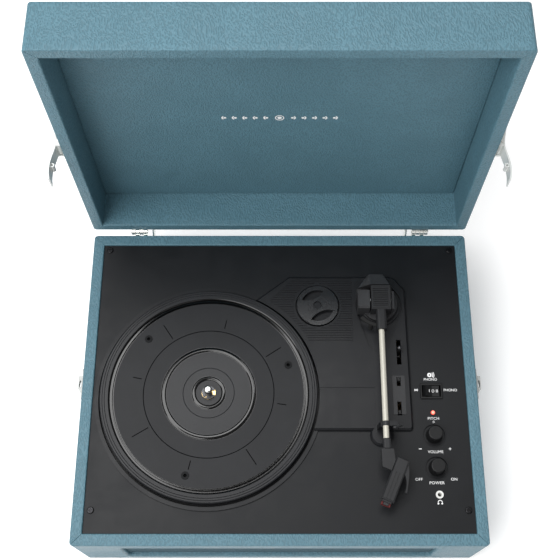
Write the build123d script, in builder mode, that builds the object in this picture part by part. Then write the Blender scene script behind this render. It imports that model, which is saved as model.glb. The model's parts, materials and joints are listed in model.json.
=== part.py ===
from build123d import *
from math import cos, radians, sin, sqrt, tan
import os

os.makedirs("parts", exist_ok=True)

# ---------------------------------------------------------------- driving dimensions (mm)
case_w = 350.0  # left to right
case_d = 284.0  # front to back
case_h = 84.6  # lower edge of the walls to the rim
wall = 10.0  # covered board, both leatherette faces included
corner_r = 3.0  # outer corners in plan
edge_r = 1.8  # rolled outer edges
foot_h = 3.4
floor_board_t = 6.0

lid_h = 40.9
lid_board_t = 6.5
closed_gap = 0.4  # between the two rims when the lid is shut

pin_out = 3.9  # hinge pin axis behind the back face
pin_up = 0.96  # hinge pin axis above the rim
hinge_pin_r = 1.25
knuckle_r = 3.3
leaf_t = 0.9

deck_drop = 1.8  # deck surface below the rim
deck_t = 2.6
arm_deck_h = 4.2  # mechanism plinth above the deck
well_r = 97.6  # platter well in the mechanism plinth
well_depth = 6.0  # well floor below the deck
well_floor_t = 1.6

platter_r = 95.7
platter_rise = 7.3  # platter surface above the deck
spindle_r = 3.575
drive_ring_r = 62.0
pulley_r = 5.0
belt_gap = 0.3
belt_t = 0.8

window_w = 270.0  # grille opening in the front wall
window_h = 52.0
window_z = 43.4  # its middle above the floor

rear_plate_w = 62.0
rear_plate_h = 30.0
rear_plate_t = 1.5
rear_plate_lap = 4.0  # the plate laps over the edge of its opening
rear_plate_at = (88.0, 40.0)
line_out_x = (74.0, 88.0)
dc_inlet_x = 104.0

handle_reach = 34.0  # handle pin axis to the middle of the grip
grip_r = 8.0
handle_standoff = 9.0  # handle pin axis off the lid
handle_half = 62.0  # half the distance between the handle's arms

fit = 0.05  # radial running clearance of shafts
clear = 0.4  # gap between parts that pass each other

# ---------------------------------------------------------------- levels and frames
rim_z = foot_h + case_h
deck_z = rim_z - deck_drop
arm_deck_z = deck_z + arm_deck_h
well_z = deck_z - well_depth
platter_z = deck_z + platter_rise
lid_rim = closed_gap - pin_up  # lid frame height of the lid's rim
lid_top = lid_rim + lid_h
lid_mid = -pin_out - case_d / 2  # lid frame depth of the lid's middle
back_reach = case_d / 2 + pin_out + lid_top + handle_standoff + grip_r
case_y = (case_d / 2 - back_reach) / 2  # the open player is centred on the origin
pin_y = case_y + case_d / 2 + pin_out
pin_z = rim_z + pin_up

# case frame: origin on the floor under the middle of the case
CASE = Plane(origin=(0, case_y, 0), x_dir=(1, 0, 0), z_dir=(0, 0, 1))
# lid frame: the shut lid's axes (x right, y back, z up) turned open about the hinge pin
LID = Plane(origin=(0, pin_y, pin_z), x_dir=(1, 0, 0), z_dir=(0, 1, 0))

# places on the deck, in the case frame
platter_at = (-62.3, -12.7)
pivot_at = (90.5, 70.0)
adapter_at = (34.6, 69.8)
pitch_at = (134.3, -48.8)
volume_at = (134.9, -77.0)
rocker_at = (134.2, -9.5)
led_at = (134.6, -28.7)
jack_at = (135.8, -99.8)
screw_at = [(-159.5, 127.1), (159.5, 127.1), (-159.5, -112.8), (159.5, -112.8)]
foot_at = [(-150, 117), (150, 117), (-150, -117), (150, -117)]
switch_plate_at = (105.2, -14.0)
stop_lever_at = (105.3, -2.0)
speed_lever_at = (105.0, -26.0)
cue_at = (106.8, 25.5)
rest_at = (88.2, -48.9)
hinge_x = 132.5
latch_y = -2.0
motor_angle = 135.0
motor_reach = drive_ring_r + 14.0

tube_z = 106.6
tube_r = 2.5
arm_axis_z = 104.0
adapter_r = 19.05


def at(frame, plane):
    """A plane given in a frame's own axes."""
    return Plane(frame.location * plane.location)


def level(z):
    """Horizontal plane of the case at height z above the floor."""
    return CASE.offset(z)


def around(centre, radius, angle):
    """Point on a circle about a centre."""
    a = radians(angle)
    return (centre[0] + radius * cos(a), centre[1] + radius * sin(a))


def save(piece, name):
    piece.part.label = name
    export_step(piece.part, f"parts/{name}.step")


# ---------------------------------------------------------------- boards of the case and lid
def mitred_walls(frame, centre, low, high, sides):
    """Walls of a box with rolled outer edges, cut at 45 degrees in the corners."""
    w, d, reach = case_w / 2, case_d / 2, 20
    outline = {
        "front": [(-w, -d), (w, -d), (w - reach, -d + reach), (-w + reach, -d + reach)],
        "back": [(-w, d), (w, d), (w - reach, d - reach), (-w + reach, d - reach)],
        "left": [(-w, -d), (-w, d), (-w + reach, d - reach), (-w + reach, -d + reach)],
        "right": [(w, -d), (w, d), (w - reach, d - reach), (w - reach, -d + reach)],
    }
    up = Axis(frame.origin, frame.z_dir)
    with BuildPart() as walls:
        with BuildSketch(frame.offset(low)):
            with Locations(centre):
                RectangleRounded(case_w, case_d, corner_r)
        extrude(amount=high - low)
        fillet(walls.faces().sort_by(up)[-1].edges(), edge_r)
        fillet(walls.faces().sort_by(up)[0].edges(), edge_r)
        with BuildSketch(frame.offset(low)):
            with Locations(centre):
                Rectangle(case_w - 2 * wall, case_d - 2 * wall)
        extrude(amount=high - low, mode=Mode.SUBTRACT)
        with BuildSketch(frame.offset(low)):
            for side in sides:
                with BuildLine():
                    Polyline([(x + centre[0], y + centre[1]) for x, y in outline[side]], close=True)
                make_face()
        extrude(amount=high - low, mode=Mode.INTERSECT)
    return walls


def case_front_wall():
    front = mitred_walls(CASE, (0, 0), foot_h, rim_z, ["front"])
    with BuildPart() as wall_with_window:
        add(front.part)
        with BuildSketch(at(CASE, Plane.XZ.offset(case_d / 2 + 1))):
            with Locations((0, window_z)):
                RectangleRounded(window_w, window_h, 4)
        extrude(amount=-wall - 2, mode=Mode.SUBTRACT)
    return wall_with_window


def case_back_wall():
    back = mitred_walls(CASE, (0, 0), foot_h, rim_z, ["back"])
    with BuildPart() as wall_with_window:
        add(back.part)
        with BuildSketch(at(CASE, Plane.XZ.offset(-case_d / 2 - 1))):
            with Locations(rear_plate_at):
                Rectangle(rear_plate_w - 2 * rear_plate_lap, rear_plate_h - 2 * rear_plate_lap)
        extrude(amount=wall + 2, mode=Mode.SUBTRACT)
    return wall_with_window


def board(frame, centre, low, high):
    """Flat board that fits between the walls."""
    with BuildPart() as panel:
        with BuildSketch(frame.offset(low)):
            with Locations(centre):
                Rectangle(case_w - 2 * wall, case_d - 2 * wall)
        extrude(amount=high - low)
    return panel


save(case_front_wall(), "front_wall")
save(case_back_wall(), "back_wall")
save(mitred_walls(CASE, (0, 0), foot_h, rim_z, ["left", "right"]), "side_walls")
save(board(CASE, (0, 0), foot_h, foot_h + floor_board_t), "bottom_board")
save(mitred_walls(LID, (0, lid_mid), lid_rim, lid_top, ["front", "back"]), "lid_end_walls")
save(mitred_walls(LID, (0, lid_mid), lid_rim, lid_top, ["left", "right"]), "lid_side_walls")
save(board(LID, (0, lid_mid), lid_top - lid_board_t, lid_top), "lid_board")

# ---------------------------------------------------------------- feet, blocks, deck
with BuildPart() as feet:
    with BuildSketch(level(0)):
        with Locations(foot_at):
            Circle(9)
    extrude(amount=foot_h, taper=4)
save(feet, "feet")

screw_r = 1.6
screw_head_r = 2.9
block_w = 15.0
with BuildPart() as corner_blocks:
    block_foot = foot_h + floor_board_t
    with BuildSketch(level(block_foot)):
        for x, y in screw_at:
            inner = case_w / 2 - wall - block_w / 2
            with Locations((inner if x > 0 else -inner, min(y, case_d / 2 - wall - block_w / 2))):
                Rectangle(block_w, block_w)
    extrude(amount=deck_z - deck_t - block_foot)
    with BuildSketch(level(deck_z - deck_t)):
        with Locations(screw_at):
            Circle(screw_r)
    extrude(amount=-14, mode=Mode.SUBTRACT)
save(corner_blocks, "corner_blocks")

knob_r = 7.2
knob_well_r = 9.5
knob_well_depth = 1.2
stem_r = 3.0
rocker_frame = (19.6, 14.0)
rocker_opening = (16.8, 10.6)
led_r = 1.5
jack_r = 1.75
jack_collar_r = 3.3
with BuildPart() as deck_plate:
    with BuildSketch(level(deck_z)):
        Rectangle(case_w - 2 * wall - 0.4, case_d - 2 * wall - 0.4)
    extrude(amount=-deck_t)
    with BuildSketch(level(deck_z)):
        with Locations(pitch_at, volume_at):
            Circle(knob_well_r + 0.8)
            Circle(knob_well_r, mode=Mode.SUBTRACT)
    extrude(amount=0.5)
    with BuildSketch(level(deck_z)):
        with Locations(pitch_at, volume_at):
            Circle(knob_well_r)
    extrude(amount=-knob_well_depth, mode=Mode.SUBTRACT)
    with BuildSketch(level(deck_z)):
        with Locations(platter_at):
            Circle(well_r + well_floor_t + clear)
        with Locations((89, 28)):
            Rectangle(48, 120)
        with Locations(screw_at):
            Circle(screw_r)
        with Locations(pitch_at, volume_at):
            Circle(stem_r + clear)
        with Locations(rocker_at):
            Rectangle(rocker_frame[0] - 2, rocker_frame[1] - 2)
        with Locations(led_at):
            Circle(led_r)
        with Locations(jack_at):
            Circle(jack_collar_r - 0.6)
    extrude(amount=-deck_t, mode=Mode.SUBTRACT)
save(deck_plate, "deck_plate")

with BuildPart() as deck_screws:
    with BuildSketch(level(deck_z)):
        with Locations(screw_at):
            Circle(screw_head_r)
    extrude(amount=1.3)
    fillet(deck_screws.faces().filter_by(Axis.Z).group_by(Axis.Z)[-1].edges(), 0.8)
    with BuildSketch(level(deck_z)):
        with Locations(screw_at):
            Circle(screw_r)
    extrude(amount=-14)
    with BuildSketch(level(deck_z + 1.3)):
        with Locations(screw_at):
            Rectangle(3.2, 0.8)
            Rectangle(0.8, 3.2)
    extrude(amount=-0.9, mode=Mode.SUBTRACT)
save(deck_screws, "deck_screws")

# ---------------------------------------------------------------- speakers behind the front window
grille_inset = 3.5
speaker_x = (-88.0, 88.0)
speaker_r = 32.0
front_face = -case_d / 2
with BuildPart() as speaker_grille:
    with BuildSketch(at(CASE, Plane.XZ.offset(-front_face - grille_inset))):
        with Locations((0, window_z)):
            RectangleRounded(window_w - 0.4, window_h - 0.4, 3.8)
    extrude(amount=-2.5)
save(speaker_grille, "speaker_grille")

with BuildPart() as speakers:
    for x in speaker_x:
        with BuildSketch(at(CASE, Plane.YZ.offset(x))):
            inner = front_face + wall
            with BuildLine():
                Polyline(
                    (inner, window_z + 22),
                    (inner, window_z + speaker_r),
                    (inner + 2, window_z + speaker_r),
                    (inner + 3, window_z + 28),
                    (inner + 17, window_z + 19),
                    (inner + 17, window_z + 22),
                    (inner + 30, window_z + 22),
                    (inner + 30, window_z),
                    (inner + 15, window_z),
                    (inner + 12, window_z + 8),
                    close=True,
                )
            make_face()
        revolve(axis=Axis((x, case_y, window_z), (0, 1, 0)))
save(speakers, "speakers")

# ---------------------------------------------------------------- mechanism plinth
plinth_chamfer = 1.6
plinth_right = 116.4
plinth_back = 98.8
plinth_front = -45.0
bulge_r = 9.6
adapter_seat_r = 20.1
adapter_seat_depth = 3.4
post_r = 3.3
arm_well_depth = 2.0
rib_pitch = 2.3


def ridge_spans(y):
    """Stretches of one groove of the ribbed field, kept off the platter and the adapter seat."""
    left = 12 - (plinth_back - 3 - y) * 1.0
    dy = y - platter_at[1]
    if abs(dy) < well_r + 4:
        left = max(left, platter_at[0] + sqrt((well_r + 4) ** 2 - dy**2))
    right = 66.5
    dy = y - adapter_at[1]
    gap = 22.0
    if abs(dy) >= gap:
        return [(left, right)]
    half = sqrt(gap**2 - dy**2)
    spans = [(left, adapter_at[0] - half), (adapter_at[0] + half, right)]
    return [(a, b) for a, b in spans if b - a > 1.5]


with BuildPart() as mechanism_plinth:
    with BuildSketch(level(deck_z)) as arm_deck_outline:
        with BuildLine():
            Polyline(
                (-24, 74),
                (8.5, plinth_back),
                (104.5, plinth_back),
                (115.2, 86),
                (plinth_right, plinth_front),
                (26, plinth_front),
                close=True,
            )
        make_face()
        corners = arm_deck_outline.vertices().group_by(Axis.X)[-1]
        fillet(corners, 3)
        fillet(arm_deck_outline.vertices().filter_by_position(Axis.X, 104, 105), 8)
        with Locations(rest_at):
            Circle(bulge_r)
    extrude(amount=arm_deck_h)
    top_edges = mechanism_plinth.faces().sort_by(Axis.Z)[-1].edges()
    chamfer(top_edges, plinth_chamfer)
    with BuildSketch(level(deck_z)):
        with Locations(platter_at):
            Circle(well_r + 3.4)
    extrude(amount=1.6)
    with BuildSketch(level(deck_z)):
        with Locations(platter_at):
            Circle(well_r + well_floor_t)
    extrude(amount=-well_depth - well_floor_t)
    with BuildSketch(level(well_z)):
        with Locations(platter_at):
            Circle(well_r)
    extrude(amount=30, mode=Mode.SUBTRACT)
    # step across the front of the arm deck
    with BuildSketch(level(arm_deck_z)):
        with Locations((57, -24)):
            Rectangle(54, 34)
    extrude(amount=-0.5, mode=Mode.SUBTRACT)
    # ribbed field
    with BuildSketch(level(arm_deck_z)):
        for row in range(27):
            y = 36.5 + row * rib_pitch
            for start, stop in ridge_spans(y):
                with Locations(((start + stop) / 2, y)):
                    Rectangle(stop - start, 1.1)
    extrude(amount=-0.6, mode=Mode.SUBTRACT)
    # adapter seat with its post
    with BuildSketch(level(arm_deck_z)):
        with Locations(adapter_at):
            Circle(adapter_seat_r)
    extrude(amount=-adapter_seat_depth, mode=Mode.SUBTRACT)
    with BuildSketch(level(arm_deck_z - adapter_seat_depth)):
        with Locations(adapter_at):
            Circle(post_r)
    extrude(amount=4.5)
    # teardrop well under the tonearm
    with BuildSketch(level(arm_deck_z)) as teardrop:
        with Locations(pivot_at):
            Circle(21)
        with Locations((89.5, 37)):
            Circle(11)
        make_hull()
    extrude(amount=-arm_well_depth, mode=Mode.SUBTRACT)
    # seats and slots
    with BuildSketch(level(arm_deck_z)):
        with Locations(switch_plate_at):
            Rectangle(11.2, 35.2)
    extrude(amount=-1, mode=Mode.SUBTRACT)
    with BuildSketch(level(arm_deck_z)):
        with Locations(cue_at):
            Rectangle(4, 23)
        with Locations(stop_lever_at):
            Rectangle(4.4, 8.4)
        with Locations(speed_lever_at):
            Rectangle(4.4, 12.4)
        with Locations(around(pivot_at, 22.7, 249)):
            Circle(1.9)
    extrude(amount=-arm_deck_h, mode=Mode.SUBTRACT)
    # holes in the well floor for the spindle, the motor shaft and the motor screws
    with BuildSketch(level(well_z)):
        with Locations(platter_at):
            Circle(spindle_r)
        with Locations(around(platter_at, motor_reach, motor_angle)):
            Circle(3)
    extrude(amount=-well_floor_t, mode=Mode.SUBTRACT)
save(mechanism_plinth, "mechanism_plinth")

# ---------------------------------------------------------------- platter and drive
skirt_z = deck_z + 2.4
disc_under = platter_z - 2.5
bush_r = 6.0
hub_r = 9.0
platter_field_z = platter_z - 0.8
groove_floor_z = platter_z - 1.8


def crown(inner_r, outer_r, start_z, end_z):
    """Points of a rounded ring that rises to the playing surface between two radii."""
    middle_r = (inner_r + outer_r) / 2
    half = (outer_r - inner_r) / 2
    points = []
    for angle in range(180, -1, -30):
        a = radians(angle)
        foot_z = start_z if angle > 90 else end_z
        points.append((middle_r + half * cos(a), foot_z + (platter_z + 0.1 - foot_z) * sin(a)))
    return points


with BuildPart() as platter:
    with BuildSketch(at(CASE, Plane(origin=(*platter_at, 0), x_dir=(1, 0, 0), z_dir=(0, -1, 0)))):
        with BuildLine():
            rim_grooves = [
                point
                for r in (91.4, 93.4)
                for point in ((r - 0.25, platter_z), (r, platter_z - 0.4), (r + 0.25, platter_z))
            ]
            Polyline(
                (bush_r, platter_z - 0.3),
                (11.2, platter_z - 0.3),
                *crown(11.5, 15.0, platter_z - 0.6, platter_z - 0.6),
                (22.2, platter_z - 0.6),
                (22.5, platter_z - 0.9),
                (22.8, platter_z - 0.6),
                *crown(37.4, 41.8, platter_z - 0.6, platter_field_z),
                (57.0, platter_field_z),
                (57.4, platter_z - 1.3),
                (57.8, platter_field_z),
                (83.6, platter_field_z),
                (83.8, groove_floor_z),
                (84.3, groove_floor_z),
                (84.6, platter_z - 0.1),
                (85.2, platter_z - 0.1),
                (85.6, groove_floor_z),
                (86.9, groove_floor_z),
                (87.1, platter_z - 0.8),
                (87.6, platter_z - 0.25),
                (88.4, platter_z),
                *rim_grooves,
                (platter_r - 0.8, platter_z),
                (platter_r, platter_z - 0.8),
                (platter_r, skirt_z),
                (platter_r - 2, skirt_z),
                (platter_r - 2, disc_under),
                (drive_ring_r, disc_under),
                (drive_ring_r, well_z + 1.5),
                (drive_ring_r - 2, well_z + 1.5),
                (drive_ring_r - 2, disc_under),
                (hub_r, disc_under),
                (hub_r, well_z + 1.5),
                (bush_r, well_z + 1.5),
                close=True,
            )
        make_face()
    revolve(axis=Axis((platter_at[0], platter_at[1] + case_y, 0), (0, 0, 1)))
    # raised bosses with a dimple, and the radial marks
    boss_places = [around(platter_at, 74.4, angle) for angle in (20, 138, 256)]
    with BuildSketch(level(platter_field_z)):
        with Locations(boss_places):
            Circle(3.4)
    extrude(amount=0.6)
    with BuildSketch(level(platter_z)):
        with Locations(boss_places):
            Circle(1.5)
    extrude(amount=-2.0, mode=Mode.SUBTRACT)
    with BuildSketch(level(platter_field_z)):
        for middle_r, length, angles in ((68, 16, (33.5, 124, 211, 304)), (65, 8, (78, 168, 257, 351))):
            for angle in angles:
                with Locations(Location((*around(platter_at, middle_r, angle), 0), (0, 0, angle))):
                    Rectangle(length, 0.8)
    extrude(amount=-0.6, mode=Mode.SUBTRACT)
save(platter, "platter")

with BuildPart() as platter_bush:
    with BuildSketch(level(well_z + 1.0)):
        with Locations(platter_at):
            Circle(bush_r)
            Circle(spindle_r + fit, mode=Mode.SUBTRACT)
    extrude(amount=platter_z - 0.3 - well_z - 1.0)
save(platter_bush, "platter_bush")

clip_z = platter_z + 0.3
clip_t = 0.9
groove_r = 3.0
spindle_top = platter_z + 11.5
with BuildPart() as spindle:
    with BuildSketch(level(well_z - well_floor_t)):
        with Locations(platter_at):
            Circle(spindle_r)
    extrude(amount=spindle_top - well_z + well_floor_t)
    fillet(spindle.edges().group_by(Axis.Z)[-1], 1.6)
    with BuildSketch(level(well_z - well_floor_t - 1.5)):
        with Locations(platter_at):
            Circle(7)
    extrude(amount=1.5)
    with BuildSketch(level(clip_z - 0.05)):
        with Locations(platter_at):
            Circle(spindle_r)
            Circle(groove_r, mode=Mode.SUBTRACT)
    extrude(amount=clip_t + 0.1, mode=Mode.SUBTRACT)
save(spindle, "spindle")

with BuildPart() as spindle_clip:
    with BuildSketch(level(clip_z)):
        with Locations(platter_at):
            Circle(5.8)
            Circle(groove_r, mode=Mode.SUBTRACT)
        with Locations((platter_at[0] + 4, platter_at[1])):
            Rectangle(8, 4.2, mode=Mode.SUBTRACT)
        for angle in (120, 240):
            with Locations(around(platter_at, 4.6, angle)):
                Circle(0.7, mode=Mode.SUBTRACT)
    extrude(amount=clip_t)
save(spindle_clip, "spindle_clip")

motor_at = around(platter_at, motor_reach, motor_angle)
motor_top = well_z - well_floor_t - 2.0
motor_h = 23.0
motor_r = 16.0
shaft_r = 1.0
belt_z = well_z + 3.0
belt_w = 2.6
with BuildPart() as motor:
    with BuildSketch(level(motor_top)):
        with Locations(motor_at):
            Circle(motor_r)
    extrude(amount=-motor_h)
    fillet(motor.edges().group_by(Axis.Z)[0], 2)
    with BuildSketch(level(motor_top)):
        with Locations(motor_at):
            Circle(shaft_r + fit)
    extrude(amount=-12, mode=Mode.SUBTRACT)
save(motor, "motor")

with BuildPart() as motor_mounts:
    with BuildSketch(level(motor_top)):
        with Locations(motor_at):
            with PolarLocations(11, 3, start_angle=motor_angle):
                Circle(2.6)
    extrude(amount=2)
save(motor_mounts, "motor_mounts")

with BuildPart() as motor_pulley:
    with BuildSketch(level(motor_top - 11.5)):
        with Locations(motor_at):
            Circle(shaft_r)
    extrude(amount=belt_z - 1 - motor_top + 11.5)
    with BuildSketch(level(belt_z - 1)):
        with Locations(motor_at):
            Circle(pulley_r)
    extrude(amount=belt_w + 2)
save(motor_pulley, "motor_pulley")

with BuildPart() as drive_belt:
    with BuildSketch(level(belt_z)):
        with Locations(platter_at):
            Circle(drive_ring_r + belt_gap + belt_t)
        with Locations(motor_at):
            Circle(pulley_r + belt_gap + belt_t)
        make_hull()
    extrude(amount=belt_w)
    with BuildSketch(level(belt_z)):
        with Locations(platter_at):
            Circle(drive_ring_r + belt_gap)
        with Locations(motor_at):
            Circle(pulley_r + belt_gap)
        make_hull()
    extrude(amount=belt_w, mode=Mode.SUBTRACT)
save(drive_belt, "drive_belt")

# ---------------------------------------------------------------- 45 rpm adapter
adapter_foot = arm_deck_z - adapter_seat_depth + 0.1
adapter_h = 5.4
adapter_top = adapter_foot + adapter_h
adapter_hub_r = 8.6
opening_r = 15.0
opening_step = 0.8  # the rim beside each opening lies lower than the band
lens_r = 19.0
lens_reach = 25.7
with BuildPart() as adapter_45:
    with BuildSketch(level(adapter_foot)):
        with Locations(adapter_at):
            Circle(adapter_r)
    extrude(amount=adapter_h)
    top = adapter_45.faces().filter_by(Axis.Z).sort_by(Axis.Z)[-1]
    chamfer(top.edges(), 0.5)
    with BuildSketch(level(adapter_top)):
        with Locations(adapter_at):
            Circle(adapter_hub_r)
            Circle(adapter_hub_r - 0.6, mode=Mode.SUBTRACT)
    extrude(amount=-0.3, mode=Mode.SUBTRACT)
    with BuildSketch(level(adapter_foot)):
        with Locations(adapter_at):
            Circle(spindle_r + 0.1)
    extrude(amount=adapter_h, mode=Mode.SUBTRACT)
    # lens-shaped openings on both sides of a slanting band
    for toward in (114, 294):
        for reach, depth in ((adapter_r + 1, opening_step), (opening_r, adapter_h)):
            with BuildSketch(level(adapter_top)):
                with Locations(adapter_at):
                    Circle(reach)
                with Locations(around(adapter_at, lens_reach, toward)):
                    Circle(lens_r, mode=Mode.INTERSECT)
            extrude(amount=-depth, mode=Mode.SUBTRACT)
save(adapter_45, "adapter_45")

# ---------------------------------------------------------------- tonearm
well_top = arm_deck_z - arm_well_depth
turret_r = 17.0
turret_top = arm_deck_z + 1.6
post_pivot_r = 4.0
post_h = 4.4
with BuildPart() as arm_base:
    with BuildSketch(level(well_top)):
        with Locations(pivot_at):
            Circle(turret_r + 2.2)
    extrude(amount=1.6)
    with BuildSketch(level(well_top)):
        with Locations(pivot_at):
            Circle(turret_r)
    extrude(amount=turret_top - well_top)
    fillet(arm_base.faces().sort_by(Axis.Z)[-1].edges(), 1)
    with BuildSketch(level(turret_top)):
        with Locations(pivot_at):
            Circle(post_pivot_r)
    extrude(amount=post_h)
save(arm_base, "arm_base")

yoke_low = turret_top + clear
yoke_floor = yoke_low + 3.6
yoke_top = 110.4
block_x = (82.0, 99.6)
block_y = (59.2, 81.6)
block_top = 112.2
cheek_left = (70.4, 80.8)
cheek_y = (60.6, 77.6)
cheek_right = (100.6, 102.8)
hood_y = (82.6, 95.0)
pin_radius = 1.5
with BuildPart() as arm_yoke:
    with BuildSketch(level(yoke_low)):
        with Locations(pivot_at):
            Circle(turret_r - 0.6)
        with Locations((pivot_at[0] - 8, pivot_at[1] + 4)):
            Rectangle(24, 20)
        with Locations((pivot_at[0], 84)):
            Rectangle(24, 6)
    extrude(amount=yoke_floor - yoke_low)
    with BuildSketch(level(yoke_low)):
        with Locations((sum(cheek_left) / 2, sum(cheek_y) / 2)):
            Rectangle(cheek_left[1] - cheek_left[0], cheek_y[1] - cheek_y[0])
    extrude(amount=yoke_top - yoke_low)
    left_top = arm_yoke.faces().sort_by(Axis.Z)[-1]
    chamfer(left_top.edges().sort_by(Axis.Y)[0], 1.4)
    with BuildSketch(level(yoke_low)):
        with Locations((sum(cheek_right) / 2, sum(cheek_y) / 2)):
            Rectangle(cheek_right[1] - cheek_right[0], cheek_y[1] - cheek_y[0])
    extrude(amount=arm_axis_z + 3.5 - yoke_low)
    # hood behind the block: narrower and lower towards the back
    with BuildSketch(at(CASE, Plane.XZ.offset(-hood_y[0]))):
        with BuildLine():
            Polyline(
                (cheek_left[0] + 1, yoke_low),
                (cheek_left[0] + 1, 103),
                (81.5, block_top - 0.4),
                (98.6, block_top - 0.4),
                (101.5, 104),
                (101.5, yoke_low),
                close=True,
            )
        make_face()
    with BuildSketch(at(CASE, Plane.XZ.offset(-hood_y[1]))):
        with BuildLine():
            Polyline(
                (79.5, yoke_low),
                (79.5, 100),
                (81.5, 105),
                (93.5, 105),
                (95.5, 100),
                (95.5, yoke_low),
                close=True,
            )
        make_face()
    loft()
    with BuildSketch(level(yoke_low)):
        with Locations((76, 79)):
            Rectangle(8.6, 8)
    extrude(amount=8)
    # running bore over the turret post and the seat of the horizontal pin
    with BuildSketch(level(yoke_low)):
        with Locations(pivot_at):
            Circle(post_pivot_r + fit)
    extrude(amount=5.4, mode=Mode.SUBTRACT)
    with BuildSketch(at(CASE, Plane.YZ.offset(cheek_left[1] - 4))):
        with Locations((pivot_at[1], arm_axis_z)):
            Circle(pin_radius)
    extrude(amount=30, mode=Mode.SUBTRACT)
save(arm_yoke, "arm_yoke")

with BuildPart() as arm_pivot_pin:
    with BuildSketch(at(CASE, Plane.YZ.offset(cheek_left[1] - 4))):
        with Locations((pivot_at[1], arm_axis_z)):
            Circle(pin_radius)
    extrude(amount=cheek_right[1] - cheek_left[1] + 4)
save(arm_pivot_pin, "arm_pivot_pin")

socket_x = (86.2, 95.2)
socket_y = 40.8
tube_x = 90.5
block_floor = yoke_floor + 1.2
with BuildPart() as arm_block:
    with BuildSketch(level(block_floor)):
        with Locations((sum(block_x) / 2, sum(block_y) / 2)):
            Rectangle(block_x[1] - block_x[0], block_y[1] - block_y[0])
    extrude(amount=block_top - block_floor)
    top = arm_block.faces().sort_by(Axis.Z)[-1]
    chamfer(top.edges().sort_by(Axis.Y)[0], 1.6)
    chamfer(arm_block.faces().sort_by(Axis.Z)[-1].edges().sort_by(Axis.X)[-1], 0.9)
    with BuildSketch(at(CASE, Plane.XZ.offset(-block_y[0]))):
        with Locations((sum(socket_x) / 2, tube_z)):
            RectangleRounded(socket_x[1] - socket_x[0], 8.6, 2.4)
    extrude(amount=block_y[0] - socket_y)
    # ribs on the top
    with BuildSketch(level(block_top)):
        for row in range(10):
            with Locations((sum(block_x) / 2 - 0.4, block_y[0] + 2.9 + row * 1.75)):
                Rectangle(13.4, 0.85)
    extrude(amount=-0.8, mode=Mode.SUBTRACT)
    with BuildSketch(at(CASE, Plane.YZ.offset(block_x[0]))):
        with Locations((pivot_at[1], arm_axis_z)):
            Circle(pin_radius + fit)
    extrude(amount=block_x[1] - block_x[0], mode=Mode.SUBTRACT)
    with BuildSketch(at(CASE, Plane.XZ.offset(-socket_y))):
        with Locations((tube_x, tube_z)):
            Circle(tube_r)
    extrude(amount=-8, mode=Mode.SUBTRACT)
save(arm_block, "arm_block")

tube_end = -65.0
with BuildPart() as arm_tube:
    with BuildSketch(at(CASE, Plane.XZ.offset(-socket_y - 8))):
        with Locations((tube_x, tube_z)):
            Circle(tube_r)
            Circle(tube_r - 0.6, mode=Mode.SUBTRACT)
    extrude(amount=socket_y + 8 - tube_end)
save(arm_tube, "arm_tube")

neck_start = -56.3
neck_end = -65.3
shell_angle = 23.3
shell_rear = (104.1, -73.3)  # middle of the headshell's rear edge
shell_top = 108.4
shell_under = 102.6
shell_l = 37.6
shell_w = 11.2
# headshell axes: origin at the rear middle, x across, y towards the arm
SHELL = at(CASE, Plane(
    origin=(*shell_rear, 0),
    x_dir=(cos(radians(-shell_angle)), sin(radians(-shell_angle)), 0),
    z_dir=(0, 0, 1),
))


def shell_flank(y):
    """Point of the headshell's left flank at a depth in the case."""
    corner_x = shell_rear[0] - shell_w / 2 * cos(radians(shell_angle))
    corner_y = shell_rear[1] + shell_w / 2 * sin(radians(shell_angle))
    return (corner_x - (corner_y - y) * tan(radians(shell_angle)), y)


with BuildPart() as headshell_neck:
    with BuildSketch(at(CASE, Plane.XZ.offset(-neck_start))):
        with Locations((tube_x + 0.3, tube_z)):
            RectangleRounded(6.8, 6.2, 2)
    extrude(amount=neck_start - neck_end)
    with BuildSketch(level(shell_under)):
        with BuildLine():
            Polyline(
                (85.8, neck_end),
                (96.2, neck_end),
                shell_flank(-75.2),
                shell_flank(-83.4),
                (86.2, -80.2),
                close=True,
            )
        make_face()
    extrude(amount=shell_top - shell_under)
    top = headshell_neck.faces().sort_by(Axis.Z)[-1]
    chamfer(top.edges(), 0.7)
    with BuildSketch(at(CASE, Plane.XZ.offset(-neck_start))):
        with Locations((tube_x, tube_z)):
            Circle(tube_r)
    extrude(amount=neck_start - tube_end, mode=Mode.SUBTRACT)
save(headshell_neck, "headshell_neck")

with BuildPart() as headshell:
    with BuildSketch(SHELL.offset(shell_under - 0.6)):
        with Locations((0, -shell_l / 2)):
            Rectangle(shell_w, shell_l)
    extrude(amount=shell_top - shell_under + 0.6)
    top = headshell.faces().sort_by(Axis.Z)[-1]
    chamfer(top.edges(), 1.2)
    with BuildSketch(SHELL.offset(shell_top)):
        with Locations((-1.2, -shell_l / 2 - 6)):
            Rectangle(1.0, shell_l - 14)
        with Locations((1.6, -shell_l / 2 - 6)):
            Rectangle(0.7, shell_l - 14)
    extrude(amount=-0.5, mode=Mode.SUBTRACT)
    with BuildSketch(SHELL.offset(shell_under - 0.6)):
        with Locations((0, -shell_l / 2 - 5.5)):
            Rectangle(shell_w - 2.4, shell_l - 9)
    extrude(amount=2.6, mode=Mode.SUBTRACT)
    # finger lift: a thin curved blade off the right flank
    with BuildSketch(SHELL.offset(shell_under + 1.4)):
        with BuildLine():
            Spline((4.9, -2.0), (7.5, -6.5), (10.0, -13.5), (12.8, -25.5))
            Line((12.8, -25.5), (11.0, -26.0))
            Spline((11.0, -26.0), (8.3, -15.5), (5.3, -11.6))
            Line((5.3, -11.6), (4.9, -2.0))
        make_face()
    extrude(amount=2.4)
save(headshell, "headshell")

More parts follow.
